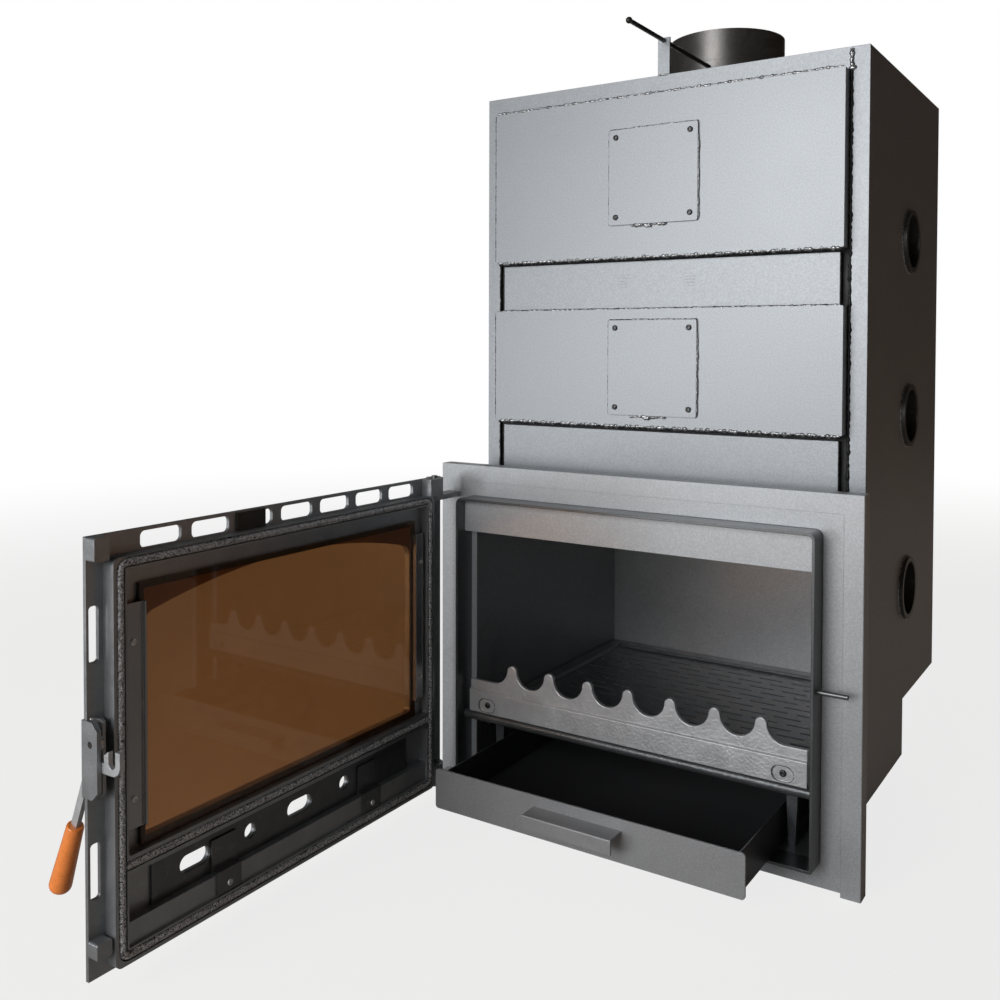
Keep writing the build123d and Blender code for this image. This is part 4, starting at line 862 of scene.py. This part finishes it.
    def _hatch_tacks(self) -> list[Sheet]:
        """Short rough tacks along the edges of the hatch covers."""
        beads = []
        for level, seed in (("upper", 41), ("lower", 43)):
            low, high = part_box(f"hatch_cover_{level}")
            middle = (low.x + high.x) / 2 - self.tack_shift
            y = high.y - self.tack_depth
            beads += [
                self._level((middle - 30.0 * MM, middle + 32.0 * MM), y, low.z - 1.6 * MM, seed,
                            2.1 * MM, self.rough),
                self._level((middle - 6.0 * MM, middle + 6.0 * MM), y, low.z - 4.0 * MM, seed + 1,
                            2.6 * MM, self.rough),
                self._level((middle - 30.0 * MM, high.x - 20.0 * MM), y, high.z + 0.8 * MM, seed + 3,
                            1.1 * MM, self.rough),
                self._upright(high.x + 0.6 * MM, y, (low.z + 4.0 * MM, high.z - 20.0 * MM), seed + 5,
                              1.0 * MM, self.rough),
            ]
        return beads

    def _scuffs(self) -> list[Sheet]:
        """Two patches of light streaks on the upper recessed face, below the corners of its hatch."""
        face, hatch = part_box("pocket_face_upper"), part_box("hatch_cover_upper")
        y = face[0].y + 0.1 * MM
        middle = (face[0].z + face[1].z) / 2 + self.scuff_lift
        return [self._level((x - 10.0 * MM, x + 9.0 * MM), y, middle + row * self.scuff_pitch, 71 + row,
                            0.4 * MM, 0.7)
                for x in (hatch[0].x + self.scuff_inset, hatch[1].x - self.scuff_inset)
                for row in range(-2, 3)]

    def _recess_shade_rims(self) -> list[Sheet]:
        """A painted shade line round each oval screw recess of the log retainer.

        The rim is a slot about the screw: two half circles of one radius, whose middles stand half a
        straight apart from the screw. So x = r cos t + s sign(cos t) and z = r sin t, for a full turn of t.
        """
        low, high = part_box("retainer_screws")
        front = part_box("log_retainer")[0].y + 0.4 * self.rim_radius
        turn = np.linspace(0, 2 * np.pi, 121)
        rim = (high.z - low.z) / 2
        straight, bend = self.rim_size
        reach = bend * np.cos(turn) + straight * np.sign(np.cos(turn))
        rims = []
        for x, seed in ((low.x + rim, 91), (high.x - rim, 93)):
            path = np.column_stack([x + reach, np.full_like(turn, front),
                                    (low.z + high.z) / 2 + bend * np.sin(turn)])
            rims.append(self._bead(path, OUT, seed, self.rim_radius, 0.3))
        return rims

    def _fittings(self) -> list[Sheet]:
        """Beads round the flue collar and the water sockets, and at the foot of the rod's bracket."""
        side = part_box("jacket_side_right")[1]
        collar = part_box("flue_collar")[1].x
        beads = [self._ring((0.0, 0.0, side.z + 0.5 * MM), "Z", collar + 0.8 * MM, 2, 1.8 * MM)]
        low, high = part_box("side_sockets_right")
        width = high.y - low.y
        for way in (-1, 1):
            for i in range(3):
                centre = (way * (side.x + 0.3 * MM), (low.y + high.y) / 2,
                          low.z + width / 2 + i * (high.z - low.z - width) / 2)
                beads.append(self._ring(centre, "X", width / 2 + 0.6 * MM, 5 + i, 1.5 * MM))
        low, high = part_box("damper_bracket")
        beads.append(self._bead([(low.x, low.y, low.z), (high.x, low.y, low.z)], OUT, 61, 1.6 * MM))
        return beads


@dataclass
class SealingRopes:
    """Braided ropes in the door's channels.

    Args:
        maker: makes the meshes.
        strands: strands round the rope, each way.
        lay: length in which a strand goes once round.
        relief: height of a strand.
        around: points round the rope.
        step: distance between rings.
    """

    maker: MeshMaker
    strands: int = 5
    lay: float = 22.0 * MM
    relief: float = 0.9 * MM
    around: int = 26
    step: float = 0.85 * MM

    def _braid(self, run: np.ndarray, radius: float, lays: float) -> np.ndarray:
        """Radii of a braid: two families of helices, one over the other by turns.

        A ridge of a family stands where its phase, lays along the rope plus or minus turns round it, is
        whole. Where the two phases' whole parts add up to an even number, the first family lies on top.

        Args:
            run: place along the rope, from 0 to 1.
            radius: outer radius of the rope.
            lays: turns of a strand over the whole rope.

        Returns:
            Radii as rings x points.
        """
        turn = np.linspace(0, 1, self.around, endpoint=False)
        first = self.strands * (lays * run[:, None] + turn[None, :])
        second = self.strands * (lays * run[:, None] - turn[None, :])
        ridge_a = np.abs(np.sin(np.pi * first))
        ridge_b = np.abs(np.sin(np.pi * second))
        even = (np.floor(first) + np.floor(second)) % 2 == 0
        height = np.maximum(np.where(even, ridge_a, 0.45 * ridge_a), np.where(even, 0.45 * ridge_b, ridge_b))
        return radius - self.relief * (1 - height)

    def build(self) -> None:
        """Make the rope round the door and the one across it."""
        low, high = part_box("rope_outer")
        radius = (high.x - low.x) / 2
        depth = (low.x + high.x) / 2
        wide, tall = high.y - low.y - 2 * radius, high.z - low.z - 2 * radius
        loop = rounded_loop(wide, tall, 9.0 * MM, self.step)
        path = np.column_stack([np.full(len(loop), depth), loop[:, 0] + (low.y + high.y) / 2,
                                loop[:, 1] + (low.z + high.z) / 2])
        run = np.linspace(0, 1, len(path), endpoint=False)
        lays = round(len(path) * self.step / self.lay)
        outer = tube(path, self._braid(run, radius, lays), (1.0, 0.0, 0.0), closed=True)
        self.maker.piece("outer_rope", [outer], ROPE, DOOR, "rope", ("rope_outer",))
        low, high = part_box("rope_middle")
        corners = np.array([(depth, low.y, (low.z + high.z) / 2), (depth, high.y, (low.z + high.z) / 2)])
        path = along(corners, self.step)
        run = np.linspace(0, 1, len(path))
        lays = (high.y - low.y) / self.lay
        middle = tube(path, self._braid(run, radius, lays), (1.0, 0.0, 0.0))
        self.maker.piece("middle_rope", [middle], ROPE, DOOR, "rope", ("rope_middle",))


@dataclass(frozen=True)
class ScrewKind:
    """Sizes of one kind of button-head screw, in metres.

    Args:
        node: CAD node that holds the screws.
        body: body that they ride on.
        out: direction in which the heads stand.
        head: radius of the head.
        height: height of the head.
        shaft: radius of the shaft.
        finish: finish of the screws.
    """

    node: str
    body: str
    out: Point
    head: float
    height: float
    shaft: float
    finish: Finish


@dataclass
class Screws:
    """Button-head screws with a hexagon socket, in the place of the plain CAD screws.

    Args:
        maker: makes the meshes.
        points: points round a screw.
    """

    maker: MeshMaker
    points: int = 48

    def _screw(self, tip: Point, kind: ScrewKind, length: float) -> Sheet:
        """One screw: rings from the end of the shaft over the domed head to the socket and its floor.

        A ring of the socket has the radius of a hexagon: its flat distance over the cosine of the angle
        from the nearest flat.

        Args:
            tip: middle of the head's top.
            kind: sizes of the screw.
            length: length from the head's top to the end of the shaft.

        Returns:
            The screw's grid.
        """
        turn = np.linspace(0, 2 * np.pi, self.points, endpoint=False)
        hexagon = kind.head * 0.44 / np.cos((turn % (np.pi / 3)) - np.pi / 6)
        ones = np.ones_like(turn)
        tall = kind.height
        rings = [(0 * ones, -length), (kind.shaft * ones, -length), (kind.shaft * ones, -tall),
                 (kind.head * ones, -tall), (kind.head * ones, -0.65 * tall),
                 (kind.head * 0.93 * ones, -0.3 * tall), (kind.head * 0.76 * ones, -0.06 * tall),
                 (kind.head * 0.62 * ones, 0.0), (hexagon * 1.04, 0.0), (hexagon, -0.06 * tall),
                 (hexagon, -0.65 * tall), (0 * ones, -0.7 * tall)]
        radii = np.stack([r for r, _ in rings])
        heights = np.array([h for _, h in rings])
        out = Vector(kind.out)
        side = out.orthogonal().normalized()
        other = out.cross(side)
        ring = (np.cos(turn)[None, :, None] * np.array(side)
                + np.sin(turn)[None, :, None] * np.array(other)) * radii[:, :, None]
        return Sheet(np.array(tip) + ring + heights[:, None, None] * np.array(out))

    def _places(self, kind: ScrewKind) -> list[Point]:
        """The middles of the head tops, worked out from the CAD boxes."""
        low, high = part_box(kind.node)
        rim = kind.head
        if kind.node == "hatch_screws":
            middles = [sum(v.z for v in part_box(f"hatch_cover_{level}")) / 2 for level in ("lower", "upper")]
            reach = high.x - rim
            return [(x, low.y, z + dz) for z in middles for x in (-reach, reach) for dz in (-reach, reach)]
        if kind.out == OUT:
            return [(x, low.y, (low.z + high.z) / 2) for x in (low.x + rim, high.x - rim)]
        levels = {round(z, 6) for z in (low.z + rim, high.z - rim)}
        return [(high.x, y, z) for y in (low.y + rim, high.y - rim) for z in sorted(levels)]

    def build(self) -> None:
        """Make every set of screws in place of its CAD node."""
        inwards = (1.0, 0.0, 0.0)
        for kind in (
                ScrewKind("hatch_screws", STOVE, OUT, 4.5 * MM, 3.0 * MM, 2.5 * MM, SCREW_STEEL),
                ScrewKind("retainer_screws", STOVE, OUT, 5.0 * MM, 2.5 * MM, 2.5 * MM, SCREW_STEEL),
                # the door's screws carry painted sheen in their colour
                ScrewKind("strip_screws", DOOR, inwards, 4.0 * MM, 2.0 * MM, 2.0 * MM, SILVER_SHEEN_SCREW),
                ScrewKind("clip_screws", DOOR, inwards, 4.0 * MM, 2.0 * MM, 2.0 * MM, SILVER_SHEEN_SCREW)):
            low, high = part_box(kind.node)
            length = high.y - low.y if kind.out == OUT else high.x - low.x
            heads = [self._screw(place, kind, length) for place in self._places(kind)]
            self.maker.piece(f"{kind.node}_socketed", heads, kind.finish, kind.body, "zinc", (kind.node,),
                             smooth=False)


@dataclass
class Stove:
    """The whole stove: dresses every CAD node and adds what its solids can't show."""

    shop: FinishShop = field(default_factory=FinishShop)

    def build(self) -> None:
        """Dress and build the sub-assemblies in order."""
        maker = MeshMaker(self.shop)
        self._dress()
        WeldSeams(maker).build()
        SealingRopes(maker).build()
        Screws(maker).build()
        self._foot_plates(maker)

    @staticmethod
    def _foot_plates(maker: MeshMaker) -> None:
        """Close the slits beside the foot of the mouth with two small plates, level with the front sheet.

        Each plate is a ring of four corners at its foot and one at its top, closed by a pole at each end.
        """
        collar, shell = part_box("mouth_collar"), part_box("firebox_shell")
        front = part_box("jacket_front_lower")
        sheet = front[1].y - front[0].y
        plates = []
        for inner, outer in ((shell[0].x + sheet, collar[0].x), (shell[1].x - sheet, collar[1].x)):
            left, right = min(inner, outer), max(inner, outer)
            corners = np.array([(left, front[0].y), (right, front[0].y),
                                (right, front[1].y), (left, front[1].y)])
            levels = [collar[0].z, collar[0].z, front[0].z, front[0].z]
            shares = np.array([0.0, 1.0, 1.0, 0.0])[:, None, None]
            flat = corners.mean(axis=0) + shares * (corners - corners.mean(axis=0))
            heights = np.repeat(np.array(levels)[:, None, None], 4, axis=1)
            plates.append(Sheet(np.concatenate([flat, heights], axis=2)))
        maker.piece("mouth_foot_plates", plates, PAINT, STOVE, "body_paint", smooth=False)

    def _dress(self) -> None:
        """Give each CAD node its finish."""
        self.shop.dress(PAINT, "jacket_side_left", "jacket_side_right", "jacket_back", "jacket_top",
                        "jacket_front_lower", "step_cover", "jacket_bottom", "pocket_face_lower",
                        "pocket_face_upper", "front_panel_lower", "front_panel_upper", "hatch_cover_lower",
                        "hatch_cover_upper", "damper_bracket", "base_frame")
        # painted shade: this sheet shows only in the grooves, so its near-black colour stands in for their
        # shade
        self.shop.dress(GROOVE_SHADE_STEEL, "jacket_front_upper")
        self.shop.dress(FLUE_STEEL, "flue_collar", "side_sockets_left", "side_sockets_right")
        self.shop.dress(TRIM_PAINT, "facade_trim", "facade_plate", "lintel", "hinge_brackets")
        self.shop.dress(COLLAR_PAINT, "mouth_collar")
        self.shop.dress(FIREBOX_PAINT, "firebox_shell", "water_pocket_lower", "water_pocket_upper",
                        "ash_floor")
        self.shop.dress(DRAWER_PAINT, "drawer_front", "drawer_handle")
        self.shop.dress(DARK_TRAY, "drawer_tray")
        self.shop.dress(DARK_STEEL, "baffle_rails", "grate_rails", "damper_flap", "damper_rod", "latch_pivot",
                        "slot_cover")
        self.shop.dress(PIN_STEEL, "striker_pin", "hinge_pins")
        self.shop.dress(DARK_CAST, "grate_bed", "grate_ledge", "smoke_baffle")
        self.shop.dress(GREY_CAST, "log_retainer", "latch_lever")
        self.shop.dress(DOOR_CAST, "door_casting")
        self.shop.dress(STRIP_STEEL, "glass_strips")
        self.shop.dress(DARK_PLATED, "slide_clips", "air_slide")
        self.shop.dress(GASKET, "hatch_gaskets", "glass_gasket")
        self.shop.dress(AMBER_GLASS, "door_glass")
        self.shop.dress(ORANGE_GRIP, "latch_grip", "air_knob")


def main() -> None:
    """Build the stove and its studio."""
    logging.basicConfig(level=logging.INFO, format="%(message)s")
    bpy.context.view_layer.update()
    Studio().build()
    Stove().build()


if __name__ == "__main__":
    main()
